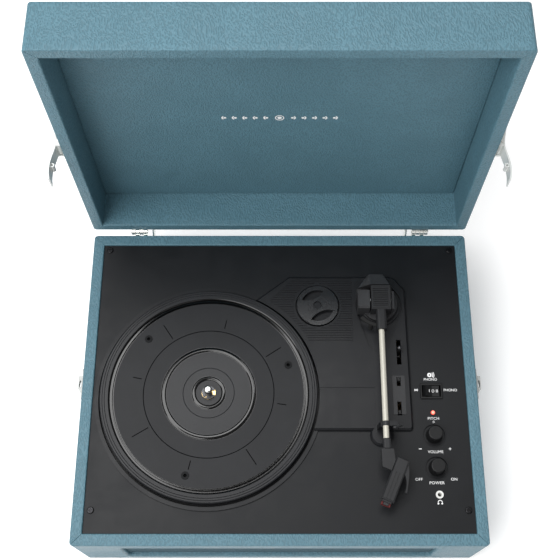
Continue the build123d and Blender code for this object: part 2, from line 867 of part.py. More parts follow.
cartridge_w = 8.0
cartridge_under = 97.6
cartridge_front = -shell_l - 1.2
nose_w = 4.4
nose_l = 2.0
with BuildPart() as cartridge:
    with BuildSketch(SHELL.offset(cartridge_under)):
        with Locations((0, cartridge_front + 9.5)):
            Rectangle(cartridge_w, 19)
    extrude(amount=shell_under + 2.0 - cartridge_under)
    front_edge = cartridge.edges().filter_by(GeomType.LINE).group_by(Axis.Z)[0].sort_by(Axis.Y)[0]
    chamfer(front_edge, 0.8)
    with BuildSketch(SHELL.offset(shell_under - 0.6)):
        with Locations((0, cartridge_front - nose_l / 2 + 0.4)):
            Rectangle(nose_w, nose_l + 0.8)
    extrude(amount=-3.0)
save(cartridge, "cartridge")

stylus_tip = platter_z + 1.7
stylus_under = cartridge_under - 1.2
with BuildPart() as stylus:
    with BuildSketch(SHELL.offset(cartridge_under)):
        with Locations((0, cartridge_front + 3.6)):
            Rectangle(cartridge_w, 12)
    extrude(amount=stylus_under - cartridge_under)
    # cheeks on both sides of the cartridge's nose
    with BuildSketch(SHELL.offset(stylus_under)):
        for side in (-1, 1):
            with Locations((side * (nose_w / 2 + 1.1), cartridge_front - 1.25)):
                Rectangle(1.4, 2.3)
    extrude(amount=4.4)
    with BuildSketch(SHELL.offset(stylus_under)):
        with Locations((0, cartridge_front + 2.0)):
            Circle(0.45)
    extrude(amount=stylus_tip - stylus_under)
save(stylus, "stylus")

pad_top = tube_z - 4.3 - clear
pad_r = 22.7
pad_stem = around(pivot_at, pad_r, 249)
with BuildPart() as cue_pad:
    with BuildSketch(level(pad_top)):
        with BuildLine():
            CenterArc(pivot_at, pad_r, 222, 56)
        trace(line_width=3)
    extrude(amount=-1.6)
    with BuildSketch(level(pad_top - 1.6)):
        with Locations(pad_stem):
            Circle(1.8)
    extrude(amount=deck_z - 6 - pad_top + 1.6)
save(cue_pad, "cue_pad")

# ---------------------------------------------------------------- arm rest and its clip
rest_y = -43.5
rest_w = 4.0
clip_pivot = (98.6, tube_z - 1.0)
with BuildPart() as arm_rest:
    with BuildSketch(at(CASE, Plane.XZ.offset(-rest_y - rest_w / 2))):
        with BuildLine():
            Polyline(
                (84.6, arm_deck_z),
                (85.4, tube_z - 5.0),
                (86.6, tube_z - tube_r - clear),
                (93.6, tube_z - tube_r - clear),
                (93.6, tube_z + 0.6),
                (96.2, tube_z + 0.6),
                (96.2, clip_pivot[1] + 2.2),
                (100.8, clip_pivot[1] + 2.2),
                (100.8, clip_pivot[1] - 2.4),
                (97.6, arm_deck_z),
                close=True,
            )
        make_face()
    extrude(amount=rest_w)
    with BuildSketch(at(CASE, Plane.XZ.offset(-rest_y - rest_w / 2))):
        with Locations(clip_pivot):
            Circle(1.05)
    extrude(amount=rest_w, mode=Mode.SUBTRACT)
save(arm_rest, "arm_rest")

# the clip stands open, leaning away from the tube
CLIP = at(CASE, Plane(
    origin=(clip_pivot[0], rest_y - rest_w / 2, clip_pivot[1]), x_dir=(1, 0, 0), z_dir=(0, -1, 0)
))
with BuildPart() as arm_clip:
    with BuildSketch(CLIP.offset(-rest_w - 0.4)):
        Circle(1.0)
    extrude(amount=rest_w + 0.8)
    with BuildSketch(CLIP.offset(0.4)):
        Circle(2.1)
        with Locations(Location((0, 0), 65)):
            with Locations((6.0, 0)):
                Rectangle(12, 1.8)
            with Locations((11.2, 1.4)):
                Rectangle(1.6, 2.8)
    extrude(amount=1.6)
save(arm_clip, "arm_clip")

# ---------------------------------------------------------------- levers on the plinth
with BuildPart() as switch_plate:
    with BuildSketch(level(arm_deck_z - 1)):
        with Locations(switch_plate_at):
            Rectangle(11, 35)
        with Locations(stop_lever_at):
            Rectangle(3.6, 8.0, mode=Mode.SUBTRACT)
        with Locations(speed_lever_at):
            Rectangle(3.6, 12.0, mode=Mode.SUBTRACT)
    extrude(amount=1.5)
save(switch_plate, "switch_plate")


def slide_lever(centre):
    """Slide knob with its stem through the switch plate."""
    with BuildPart() as lever:
        with BuildSketch(level(arm_deck_z - 4)):
            with Locations(centre):
                Rectangle(2.8, 3.6)
        extrude(amount=6.2)
        fillet(lever.edges().group_by(Axis.Z)[-1], 0.5)
    return lever


stop_travel = 3.6
speed_travel = 7.6
save(slide_lever((stop_lever_at[0], stop_lever_at[1] + stop_travel / 2)), "stop_lever")
save(slide_lever((speed_lever_at[0], speed_lever_at[1] - speed_travel / 2)), "speed_lever")

cue_axis_z = deck_z - 7.0
cue_rest_angle = 6.0
CUE = at(CASE, Plane(origin=(cue_at[0], cue_at[1], cue_axis_z)))
with BuildPart() as cue_lever:
    with BuildSketch(at(CUE, Plane.YZ.offset(-1.4))):
        Circle(3)
    extrude(amount=2.8)
    lean = Plane(CUE.location * Location((0, 0, 0), (-cue_rest_angle, 0, 0)))
    with BuildSketch(lean):
        Circle(1.3)
    extrude(amount=17)
    with Locations(lean.location * Location((0, 0, 18))):
        Sphere(2.1)
save(cue_lever, "cue_lever")

# ---------------------------------------------------------------- knobs, rocker, light, headphone socket
knob_h = 11.6
flute_h = 9.8
flutes = 28
knob_taper = 5


def knob(centre):
    """Round knob with a fluted edge, a pointer groove and its stem."""
    base = deck_z - knob_well_depth + clear
    with BuildPart() as dial:
        with BuildSketch(level(base)):
            with Locations(centre):
                Circle(knob_r)
        extrude(amount=knob_h, taper=knob_taper)
        fillet(dial.edges().group_by(Axis.Z)[-1], 0.9)
        with BuildSketch(level(base)):
            with Locations(centre):
                with PolarLocations(knob_r + 0.25, flutes):
                    Circle(0.55)
        extrude(amount=flute_h, mode=Mode.SUBTRACT)
        with BuildSketch(level(base + knob_h)):
            with Locations((centre[0], centre[1] + 4.2)):
                Rectangle(0.9, 3.4)
        extrude(amount=-0.5, mode=Mode.SUBTRACT)
        with BuildSketch(level(base)):
            with Locations(centre):
                Circle(stem_r)
        extrude(amount=-11)
    return dial


save(knob(pitch_at), "pitch_knob")
save(knob(volume_at), "volume_knob")

pot_top = deck_z - deck_t
pot_h = 9.0
with BuildPart() as potentiometers:
    with BuildSketch(level(pot_top)):
        with Locations(pitch_at, volume_at):
            RectangleRounded(16, 16, 2)
    extrude(amount=-pot_h)
    with BuildSketch(level(pot_top)):
        with Locations(pitch_at, volume_at):
            Circle(stem_r + fit)
    extrude(amount=-pot_h, mode=Mode.SUBTRACT)
save(potentiometers, "potentiometers")

rocker_depth = 11.0
rocker_axis_z = deck_z - 1.4
rocker_tilt = 12.0  # the right end stands pressed
rocker_w = 9.6
rocker_stub_r = 1.0
rocker_stub_l = 0.9  # beyond each side of the rocker, into the housing's wall
with BuildPart() as rocker_housing:
    with BuildSketch(level(deck_z)):
        with Locations(rocker_at):
            RectangleRounded(*rocker_frame, 0.8)
    extrude(amount=1.5)
    chamfer(rocker_housing.faces().sort_by(Axis.Z)[-1].edges(), 0.4)
    with BuildSketch(level(deck_z)):
        with Locations(rocker_at):
            Rectangle(rocker_frame[0] - 2, rocker_frame[1] - 2)
    extrude(amount=-rocker_depth)
    with BuildSketch(level(deck_z + 1.5)):
        with Locations(rocker_at):
            Rectangle(*rocker_opening)
    extrude(amount=-rocker_depth, mode=Mode.SUBTRACT)
    with BuildSketch(at(CASE, Plane.XZ.offset(-rocker_at[1]))):
        with Locations((rocker_at[0], rocker_axis_z)):
            Circle(rocker_stub_r + fit)
    extrude(amount=rocker_frame[1] / 2, both=True, mode=Mode.SUBTRACT)
save(rocker_housing, "rocker_housing")

ROCKER = at(CASE, Plane(
    Location((rocker_at[0], rocker_at[1], rocker_axis_z), (0, rocker_tilt, 0))
))
with BuildPart() as rocker:
    with BuildSketch(at(ROCKER, Plane.XZ.offset(-rocker_w / 2))):
        with BuildLine():
            Polyline((-7.4, -1.5), (-6.2, 4.0), (0, 2.6), (6.2, 4.0), (7.4, -1.5), (0, -5), close=True)
        make_face()
    extrude(amount=rocker_w)
    with BuildSketch(at(ROCKER, Plane.XZ)):
        Circle(rocker_stub_r)
    extrude(amount=rocker_w / 2 + rocker_stub_l, both=True)
save(rocker, "rocker")

with BuildPart() as power_led:
    with BuildSketch(level(deck_z - deck_t - 3)):
        with Locations(led_at):
            Circle(led_r)
    extrude(amount=deck_t + 4.2)
    fillet(power_led.edges().group_by(Axis.Z)[-1], 1.1)
save(power_led, "power_led")

jack_depth = 13.0
with BuildPart() as headphone_jack:
    with BuildSketch(level(deck_z)):
        with Locations(jack_at):
            Circle(jack_collar_r)
    extrude(amount=0.8)
    with BuildSketch(level(deck_z)):
        with Locations(jack_at):
            Circle(jack_collar_r - 0.6)
    extrude(amount=-deck_t)
    with BuildSketch(level(deck_z - deck_t)):
        with Locations(jack_at):
            Rectangle(9, 11)
    extrude(amount=-jack_depth + deck_t)
    with BuildSketch(level(deck_z + 0.8)):
        with Locations(jack_at):
            Circle(jack_r)
    extrude(amount=-jack_depth + 0.8, mode=Mode.SUBTRACT)
save(headphone_jack, "headphone_jack")

board_top = pot_top - pot_h
board_t = 1.6
with BuildPart() as amplifier_board:
    with BuildSketch(level(board_top)):
        with Locations((134, -49)):
            Rectangle(31, 108)
    extrude(amount=-board_t)
    with BuildSketch(level(board_top)):
        with Locations((122, 1), (146, 1), (122, -92), (146, -92)):
            Circle(2.5)
    extrude(amount=pot_h)
    with BuildSketch(level(board_top - board_t)):
        with Locations((126, -20), (144, -20), (126, -66), (144, -66)):
            Circle(4.5)
        with Locations((135, -44)):
            Rectangle(12, 12)
    extrude(amount=-9)
    with BuildSketch(level(board_top)):
        with Locations(rocker_at):
            Rectangle(rocker_frame[0] - 1, rocker_frame[1] - 1)
        with Locations(jack_at):
            Rectangle(10, 12)
        with Locations(pitch_at, volume_at):
            Circle(stem_r + clear)
    extrude(amount=-board_t, mode=Mode.SUBTRACT)
save(amplifier_board, "amplifier_board")

# ---------------------------------------------------------------- sockets on the back wall
REAR = at(CASE, Plane(origin=(0, case_d / 2, 0), x_dir=(-1, 0, 0), z_dir=(0, 1, 0)))
line_out_r = 4.15
line_out_l = 8.5  # free length of the socket's shell
line_out_gap = 0.5  # the shell starts this far off the plate
barrel_r = 3.9
dc_bore_r = 2.75
with BuildPart() as rear_plate:
    with BuildSketch(REAR):
        with Locations((-rear_plate_at[0], rear_plate_at[1])):
            RectangleRounded(rear_plate_w, rear_plate_h, 3)
        with Locations([(-x, rear_plate_at[1]) for x in line_out_x]):
            Circle(barrel_r, mode=Mode.SUBTRACT)
        with Locations((-dc_inlet_x, rear_plate_at[1])):
            Rectangle(9.2, 11.2, mode=Mode.SUBTRACT)
    extrude(amount=rear_plate_t)
save(rear_plate, "rear_plate")

line_out_places = [(-x, rear_plate_at[1]) for x in line_out_x]
barrel_back = 6.0
shell_start = rear_plate_t + line_out_gap
with BuildPart() as line_sockets:
    with BuildSketch(REAR.offset(-barrel_back)):
        with Locations(line_out_places):
            Circle(barrel_r)
    extrude(amount=barrel_back + shell_start)
    with BuildSketch(REAR.offset(shell_start)):
        with Locations(line_out_places):
            Circle(line_out_r)
    extrude(amount=line_out_l)
    with BuildSketch(REAR.offset(shell_start + line_out_l)):
        with Locations(line_out_places):
            Circle(1.6)
    extrude(amount=-line_out_l - shell_start - barrel_back, mode=Mode.SUBTRACT)
save(line_sockets, "line_sockets")

with BuildPart() as dc_inlet:
    with BuildSketch(REAR.offset(-9)):
        with Locations((-dc_inlet_x, rear_plate_at[1])):
            Rectangle(9, 11)
    extrude(amount=9 + rear_plate_t + 0.5)
    with BuildSketch(REAR.offset(rear_plate_t + 0.5)):
        with Locations((-dc_inlet_x, rear_plate_at[1])):
            Circle(dc_bore_r)
            Circle(1.0, mode=Mode.SUBTRACT)
    extrude(amount=-9, mode=Mode.SUBTRACT)
save(dc_inlet, "dc_inlet")

# ---------------------------------------------------------------- hinges
knuckle_l = 3.4
knuckle_step = 3.8
leaf_half = 11.0
leaf_drop = 4.2  # the leaves stay this far from the pin axis


def leaf_set(frame, back_y, toward, first):
    """Leaves of both hinges in a frame: plate against the back face, joined to its own knuckles."""
    with BuildPart() as leaves:
        for side in (-1, 1):
            centre = side * hinge_x
            start = centre - side * 7.5
            plate_x = centre - side * 3.5
            with BuildSketch(at(frame, Plane.XZ.offset(-back_y))):
                with Locations((plate_x, toward * (leaf_drop + 7))):
                    Rectangle(2 * leaf_half, 14)
            extrude(amount=-leaf_t)
            for number in (first, first + 2):
                middle = start + side * (number * knuckle_step + knuckle_l / 2)
                with BuildSketch(at(frame, Plane.YZ.offset(middle - knuckle_l / 2))):
                    Circle(knuckle_r)
                    with Locations((back_y + 0.9, toward * (leaf_drop + 1) / 2)):
                        Rectangle(1.8, leaf_drop + 1)
                    Circle(hinge_pin_r + (0 if frame is HINGE_BASE else fit), mode=Mode.SUBTRACT)
                extrude(amount=knuckle_l)
    return leaves


# the hinge pin's own frames: one in the case's axes, one in the lid's
HINGE_BASE = Plane(origin=(0, pin_y, pin_z), x_dir=(1, 0, 0), z_dir=(0, 0, 1))
fin_t = 1.2
with BuildPart() as hinge_base_leaves:
    add(leaf_set(HINGE_BASE, -pin_out, -1, 0).part)
    for side in (-1, 1):
        with BuildSketch(at(HINGE_BASE, Plane.YZ.offset(side * (hinge_x - 13) - fin_t / 2))):
            with BuildLine():
                Polyline(
                    (-pin_out, -leaf_drop - 12),
                    (-pin_out, -leaf_drop),
                    (-1.2, 2.5),
                    (11, 2.5),
                    (11, 0.5),
                    (-pin_out + leaf_t, -leaf_drop - 12),
                    close=True,
                )
            make_face()
        extrude(amount=fin_t)
save(hinge_base_leaves, "hinge_base_leaves")

with BuildPart() as hinge_lid_leaves:
    add(leaf_set(LID, -pin_out, 1, 1).part)
save(hinge_lid_leaves, "hinge_lid_leaves")

with BuildPart() as hinge_pins:
    for side in (-1, 1):
        with BuildSketch(at(HINGE_BASE, Plane.YZ.offset(side * hinge_x - 8))):
            Circle(hinge_pin_r)
        extrude(amount=16)
save(hinge_pins, "hinge_pins")

# ---------------------------------------------------------------- side latches
latch_depth = lid_mid + latch_y
plate_t = 0.9
latch_pin_x = case_w / 2 + 3.2
latch_pin_z = 5.0
latch_pin_r = 1.1
hasp_w = 14.0
hasp_t = 1.3


def latch_frame(side):
    """Latch axes on the lid: x outwards from the case's middle, y up the shut lid."""
    return at(LID, Plane(origin=(0, latch_depth, 0), x_dir=(side, 0, 0), z_dir=(0, -side, 0)))


with BuildPart() as latch_plates:
    for side in (-1, 1):
        frame = latch_frame(side)
        with BuildSketch(at(LID, Plane.YZ.offset(side * case_w / 2))):
            with Locations((latch_depth, 12.5)):
                RectangleRounded(31, 20, 3)
        extrude(amount=side * plate_t)
        with BuildSketch(at(LID, Plane.YZ.offset(side * (case_w / 2 + plate_t)))):
            with Locations((latch_depth - 12, 17.5), (latch_depth + 12, 17.5)):
                Circle(2.3)
        extrude(amount=side * 0.9)
        for y in (-hasp_w / 2 - 2.2, hasp_w / 2 + 0.4):
            with BuildSketch(frame.offset(y)):
                with Locations((latch_pin_x - 0.3, latch_pin_z)):
                    Rectangle(4.8, 6)
                with Locations((latch_pin_x, latch_pin_z)):
                    Circle(latch_pin_r, mode=Mode.SUBTRACT)
            extrude(amount=1.8)
save(latch_plates, "latch_plates")

with BuildPart() as latch_pins:
    for side in (-1, 1):
        with BuildSketch(latch_frame(side).offset(-hasp_w / 2 - 2.6)):
            with Locations((latch_pin_x, latch_pin_z)):
                Circle(latch_pin_r)
        extrude(amount=hasp_w + 5.2)
save(latch_pins, "latch_pins")


def latch_hasp(side):
    """S-shaped hasp with an eye on the pin and a curled hook on its inner face."""
    frame = latch_frame(side)
    face_x = case_w / 2
    with BuildPart() as hasp:
        with BuildSketch(frame.offset(-hasp_w / 2)):
            with BuildLine():
                Spline(
                    (face_x + 7.8, 19.0),
                    (face_x + 6.0, 11.0),
                    (face_x + 5.2, 5.0),
                    (face_x + 6.6, -3.5),
                    (face_x + 8.2, -11.0),
                    (face_x + 8.6, -19.0),
                    (face_x + 7.4, -27.0),
                )
            trace(line_width=hasp_t)
            with Locations((latch_pin_x, latch_pin_z)):
                Circle(2.0)
            with Locations((latch_pin_x, latch_pin_z)):
                Circle(latch_pin_r + fit, mode=Mode.SUBTRACT)
        extrude(amount=hasp_w)
        with BuildSketch(frame.offset(-4)):
            with Locations((face_x + 6.7, -13.2)):
                Circle(1.9)
                Circle(0.9, mode=Mode.SUBTRACT)
        extrude(amount=8)
    return hasp


save(latch_hasp(-1), "latch_hasp_left")
save(latch_hasp(1), "latch_hasp_right")

keeper_reach = 4.4
with BuildPart() as latch_keepers:
    for side in (-1, 1):
        with BuildSketch(at(CASE, Plane.YZ.offset(side * case_w / 2))):
            with Locations((latch_y, rim_z - 9.5)):
                RectangleRounded(28, 15, 2.5)
        extrude(amount=side * plate_t)
        with BuildSketch(level(rim_z - 9.6)):
            with BuildLine():
                x = side * (case_w / 2 + plate_t)
                out = side * (case_w / 2 + keeper_reach)
                Polyline(
                    (x, latch_y + 7.5),
                    (out, latch_y + 7.5),
                    (out, latch_y - 4.5),
                    (out - side * 2.4, latch_y - 7.8),
                    (x, latch_y - 7.8),
                    close=True,
                )
            make_face()
            with Locations((side * (case_w / 2 + 2.7), latch_y)):
                Ellipse(0.95, 3.4, mode=Mode.SUBTRACT)
        extrude(amount=5.4)
save(latch_keepers, "latch_keepers")

# ---------------------------------------------------------------- carrying handle on the lid
handle_pin_r = 2.0
eye_r = 5.0
arm_r = 4.2
handle_pin_z = lid_top + handle_standoff
with BuildPart() as handle_brackets:
    with BuildSketch(LID.offset(lid_top)):
        with Locations((-handle_half, lid_mid), (handle_half, lid_mid)):
            RectangleRounded(26, 22, 3)
    extrude(amount=2.0)
    for side in (-1, 1):
        for x in (handle_half - 10, handle_half + 7):
            with BuildSketch(at(LID, Plane.YZ.offset(side * x if side > 0 else -x - 3))):
                with Locations((lid_mid, lid_top + handle_standoff / 2)):
                    Rectangle(8, handle_standoff)
                with Locations((lid_mid, handle_pin_z)):
                    Circle(4)
            extrude(amount=3)
        with BuildSketch(at(LID, Plane.YZ.offset(side * handle_half - 8.5))):
            with Locations((lid_mid, handle_pin_z)):
                Circle(handle_pin_r)
        extrude(amount=17)
save(handle_brackets, "handle_brackets")

HANDLE = at(LID, Plane(origin=(0, lid_mid, handle_pin_z)))
with BuildPart() as carry_handle:
    with BuildLine(HANDLE) as route:
        FilletPolyline(
            (-handle_half, 3), (-handle_half, handle_reach), (handle_half, handle_reach),
            (handle_half, 3), radius=14
        )
    with BuildSketch(at(HANDLE, Plane(origin=(-handle_half, 3, 0), z_dir=(0, 1, 0)))):
        Circle(arm_r)
    sweep(path=route.wires()[0])
    with BuildSketch(at(HANDLE, Plane.YZ.offset(-44))):
        with Locations((handle_reach, 0)):
            Circle(grip_r)
    extrude(amount=88)
    fillet(carry_handle.edges().filter_by(GeomType.CIRCLE).filter_by(
        lambda e: abs(e.radius - grip_r) < 0.01), 3)
    for side in (-1, 1):
        with BuildSketch(at(HANDLE, Plane.YZ.offset(side * handle_half - 5.5))):
            Circle(eye_r)
        extrude(amount=11)
        with BuildSketch(at(HANDLE, Plane.YZ.offset(side * handle_half - 5.5))):
            Circle(handle_pin_r + fit)
        extrude(amount=11, mode=Mode.SUBTRACT)
save(carry_handle, "carry_handle")
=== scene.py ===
"""Looks of the suitcase record player: covers, lining, printed signs, materials, light and camera."""

import json
from math import cos, pi, radians, sin

import bmesh
import bpy
from mathutils import Matrix, Vector, noise
from mathutils.bvhtree import BVHTree


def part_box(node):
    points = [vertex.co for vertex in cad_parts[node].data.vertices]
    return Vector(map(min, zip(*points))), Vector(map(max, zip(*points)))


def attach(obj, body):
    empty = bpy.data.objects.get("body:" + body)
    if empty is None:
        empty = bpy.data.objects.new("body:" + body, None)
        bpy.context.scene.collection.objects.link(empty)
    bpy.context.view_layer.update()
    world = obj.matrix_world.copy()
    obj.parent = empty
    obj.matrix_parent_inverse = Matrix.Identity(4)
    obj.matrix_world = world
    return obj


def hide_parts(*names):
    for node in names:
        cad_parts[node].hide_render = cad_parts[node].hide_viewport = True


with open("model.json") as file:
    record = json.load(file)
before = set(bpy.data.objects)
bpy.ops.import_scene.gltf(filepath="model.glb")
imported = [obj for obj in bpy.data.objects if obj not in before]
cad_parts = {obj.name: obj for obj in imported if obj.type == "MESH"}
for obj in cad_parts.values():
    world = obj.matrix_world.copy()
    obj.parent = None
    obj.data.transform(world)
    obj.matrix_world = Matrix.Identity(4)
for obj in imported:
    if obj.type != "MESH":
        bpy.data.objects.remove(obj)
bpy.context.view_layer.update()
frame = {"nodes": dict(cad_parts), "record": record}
nodes = frame["nodes"]
MM = 0.001


# ---------------------------------------------------------------- landmarks from the frame
def middle(node):
    """Middle of a CAD node's box."""
    low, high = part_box(node)
    return (low + high) / 2


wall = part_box("front_wall")[1].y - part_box("front_wall")[0].y
case_low = Vector((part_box("side_walls")[0].x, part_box("front_wall")[0].y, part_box("front_wall")[0].z))
case_high = Vector((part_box("side_walls")[1].x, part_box("back_wall")[1].y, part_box("front_wall")[1].z))
lid_low, lid_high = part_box("lid_end_walls")
lid_board_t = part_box("lid_board")[1].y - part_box("lid_board")[0].y
deck_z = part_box("headphone_jack")[1].z - 0.8 * MM
platter_axis = middle("platter")
platter_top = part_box("platter")[1].z


# ---------------------------------------------------------------- camera, light and floor
def add_camera():
    data = bpy.data.cameras.new("camera")
    data.lens = 62.223
    data.sensor_width = 36.0
    data.shift_x = 0.0007
    data.shift_y = -0.03635
    data.clip_start = 0.05
    camera = bpy.data.objects.new("camera", data)
    camera.location = (0, -0.27525, 0.91892)
    camera.rotation_euler = (radians(23.518), 0, 0)
    bpy.context.scene.collection.objects.link(camera)
    bpy.context.scene.camera = camera


def add_softbox(name, place, size, watts):
    """Area light that faces the player's middle."""
    data = bpy.data.lights.new(name, "AREA")
    data.shape = "RECTANGLE"
    data.size, data.size_y = size
    data.energy = watts
    light = bpy.data.objects.new(name, data)
    light.location = place
    light.rotation_euler = (Vector((0, 0, 0.1)) - Vector(place)).to_track_quat("-Z", "Y").to_euler()
    bpy.context.scene.collection.objects.link(light)


def add_world(strength):
    world = bpy.data.worlds.new("studio")
    world.use_nodes = True
    background = world.node_tree.nodes["Background"]
    background.inputs["Color"].default_value = (1.0, 1.0, 1.0, 1.0)
    background.inputs["Strength"].default_value = strength
    bpy.context.scene.world = world


def add_floor(material):
    bpy.ops.mesh.primitive_plane_add(size=12.0, location=(0, 0, 0))
    floor = bpy.context.object
    floor.name = "floor"
    floor.data.materials.append(material)


# ---------------------------------------------------------------- material kit
class Finish:
    """A node material: a principled shader with a few patterns that can be added to it."""

    def __init__(self, name, colour, roughness, metallic=0.0, specular=0.5, **sockets):
        self.material = bpy.data.materials.new(name)
        self.material.use_nodes = True
        self.tree = self.material.node_tree
        self.shader = self.tree.nodes["Principled BSDF"]
        self.shader.inputs["Base Color"].default_value = (*colour, 1.0)
        self.shader.inputs["Roughness"].default_value = roughness
        self.shader.inputs["Metallic"].default_value = metallic
        self.shader.inputs["Specular IOR Level"].default_value = specular
        for socket, value in sockets.items():
            self.shader.inputs[socket.replace("_", " ")].default_value = value
        self.place = self.node("ShaderNodeTexCoord").outputs["Object"]
        self.normal = None

    def node(self, kind, settings=None, **inputs):
        made = self.tree.nodes.new(kind)
        for key, value in (settings or {}).items():
            setattr(made, key, value)
        for key, value in inputs.items():
            self.feed(made, key.replace("_", " "), value)
        return made

    def feed(self, node, socket, value):
        if isinstance(value, bpy.types.NodeSocket):
            self.tree.links.new(value, node.inputs[socket])
        else:
            node.inputs[socket].default_value = value

    def maths(self, operation, a, b=0.0, c=0.0):
        made = self.node("ShaderNodeMath", {"operation": operation})
        for index, value in enumerate((a, b, c)):
            self.feed(made, index, value)
        return made.outputs[0]

    def ramp(self, value, low, high, to_low=0.0, to_high=1.0):
        made = self.node("ShaderNodeMapRange", {"interpolation_type": "SMOOTHSTEP"}, Value=value)
        limits = {"From Min": low, "From Max": high, "To Min": to_low, "To Max": to_high}
        for key, number in limits.items():
            made.inputs[key].default_value = number
        return made.outputs[0]

    def noise(self, pitch, detail=2.0, roughness=0.5, distortion=0.0, place=None):
        made = self.node("ShaderNodeTexNoise", Vector=place or self.place, Scale=1 / pitch,
                         Detail=detail, Roughness=roughness, Distortion=distortion)
        return made.outputs["Fac"]

    def stretched(self, turn, scale):
        """Object coordinates turned and stretched, so that a pattern gets a direction."""
        made = self.node("ShaderNodeMapping", Vector=self.place)
        made.inputs["Rotation"].default_value = turn
        made.inputs["Scale"].default_value = scale
        return made.outputs[0]

    def bump(self, height, depth, strength=1.0):
        made = self.node("ShaderNodeBump", Height=height, Distance=depth, Strength=strength)
        if self.normal is not None:
            self.tree.links.new(self.normal, made.inputs["Normal"])
        self.normal = made.outputs[0]
        self.tree.links.new(self.normal, self.shader.inputs["Normal"])

    def tint(self, factor, first, second):
        """Base colour that goes from the first colour to the second with a factor."""
        made = self.node("ShaderNodeMix", {"data_type": "RGBA"})
        self.feed(made, 0, factor)
        for index, colour in ((6, first), (7, second)):
            if isinstance(colour, bpy.types.NodeSocket):
                self.feed(made, index, colour)
            else:
                made.inputs[index].default_value = (*colour, 1.0)
        self.feed(self.shader, "Base Color", made.outputs[2])
        return made.outputs[2]

    def rough(self, factor, first, second):
        self.feed(self.shader, "Roughness", self.ramp(factor, 0.3, 0.7, first, second))

    def radius(self, centre):
        """Distance from a vertical axis."""
        away = self.node("ShaderNodeVectorMath", {"operation": "SUBTRACT"})
        self.feed(away, 0, self.place)
        away.inputs[1].default_value = (centre.x, centre.y, 0.0)
        flat = self.node("ShaderNodeVectorMath", {"operation": "MULTIPLY"})
        self.feed(flat, 0, away.outputs[0])
        flat.inputs[1].default_value = (1.0, 1.0, 0.0)
        length = self.node("ShaderNodeVectorMath", {"operation": "LENGTH"})
        self.feed(length, 0, flat.outputs[0])
        return length.outputs["Value"]


def shade(colour, factor):
    return tuple(channel * factor for channel in colour)


# ---------------------------------------------------------------- materials
def leatherette(name, colour):
    """Embossed leatherette: soft pebbles about 1.5 mm apart that run in wavering, slanting rows."""
    finish = Finish(name, colour, 0.5, specular=0.4)
    drift = finish.node("ShaderNodeTexNoise", Vector=finish.place, Scale=38.0, Detail=1.0)
    bend = finish.node("ShaderNodeVectorMath", {"operation": "MULTIPLY_ADD"})
    finish.feed(bend, 0, drift.outputs["Color"])
    bend.inputs[1].default_value = (0.008, 0.008, 0.008)
    finish.feed(bend, 2, finish.stretched((0.5, 0.62, 0.66), (1.0, 0.5, 0.66)))
    folds = finish.ramp(finish.noise(1.2 * MM, 1.2, 0.5, 0.0, bend.outputs[0]), 0.36, 0.62)
    finish.bump(folds, 0.24 * MM, 1.0)
    finish.bump(finish.noise(0.5 * MM, 2.0, 0.6), 0.035 * MM, 0.7)
    finish.bump(finish.noise(45 * MM, 1.0), 0.6 * MM, 0.35)
    patches = finish.noise(32 * MM, 3.0, 0.55)
    base = finish.tint(finish.ramp(patches, 0.35, 0.68), shade(colour, 0.97), shade(colour, 1.06))
    # painted shade: the grain's hollows are tinted down to 84% of the colour, for the shade that falls in
    # the folds
    finish.tint(finish.ramp(folds, 0.0, 0.6), shade(colour, 0.84), base)
    finish.rough(patches, 0.42, 0.52)
    return finish.material


def moulded_plastic(name, colour, roughness, pitch=0.35 * MM, depth=0.02 * MM, specular=0.25):
    """Black moulding with a spark-eroded skin and faint handling marks."""
    finish = Finish(name, colour, roughness, specular=specular)
    finish.bump(finish.noise(pitch, 2.0, 0.6), depth, 0.8)
    marks = finish.noise(26 * MM, 4.0, 0.65, 0.6)
    finish.tint(finish.ramp(marks, 0.35, 0.7), shade(colour, 0.9), shade(colour, 1.12))
    finish.rough(marks, roughness - 0.04, roughness + 0.05)
    return finish.material


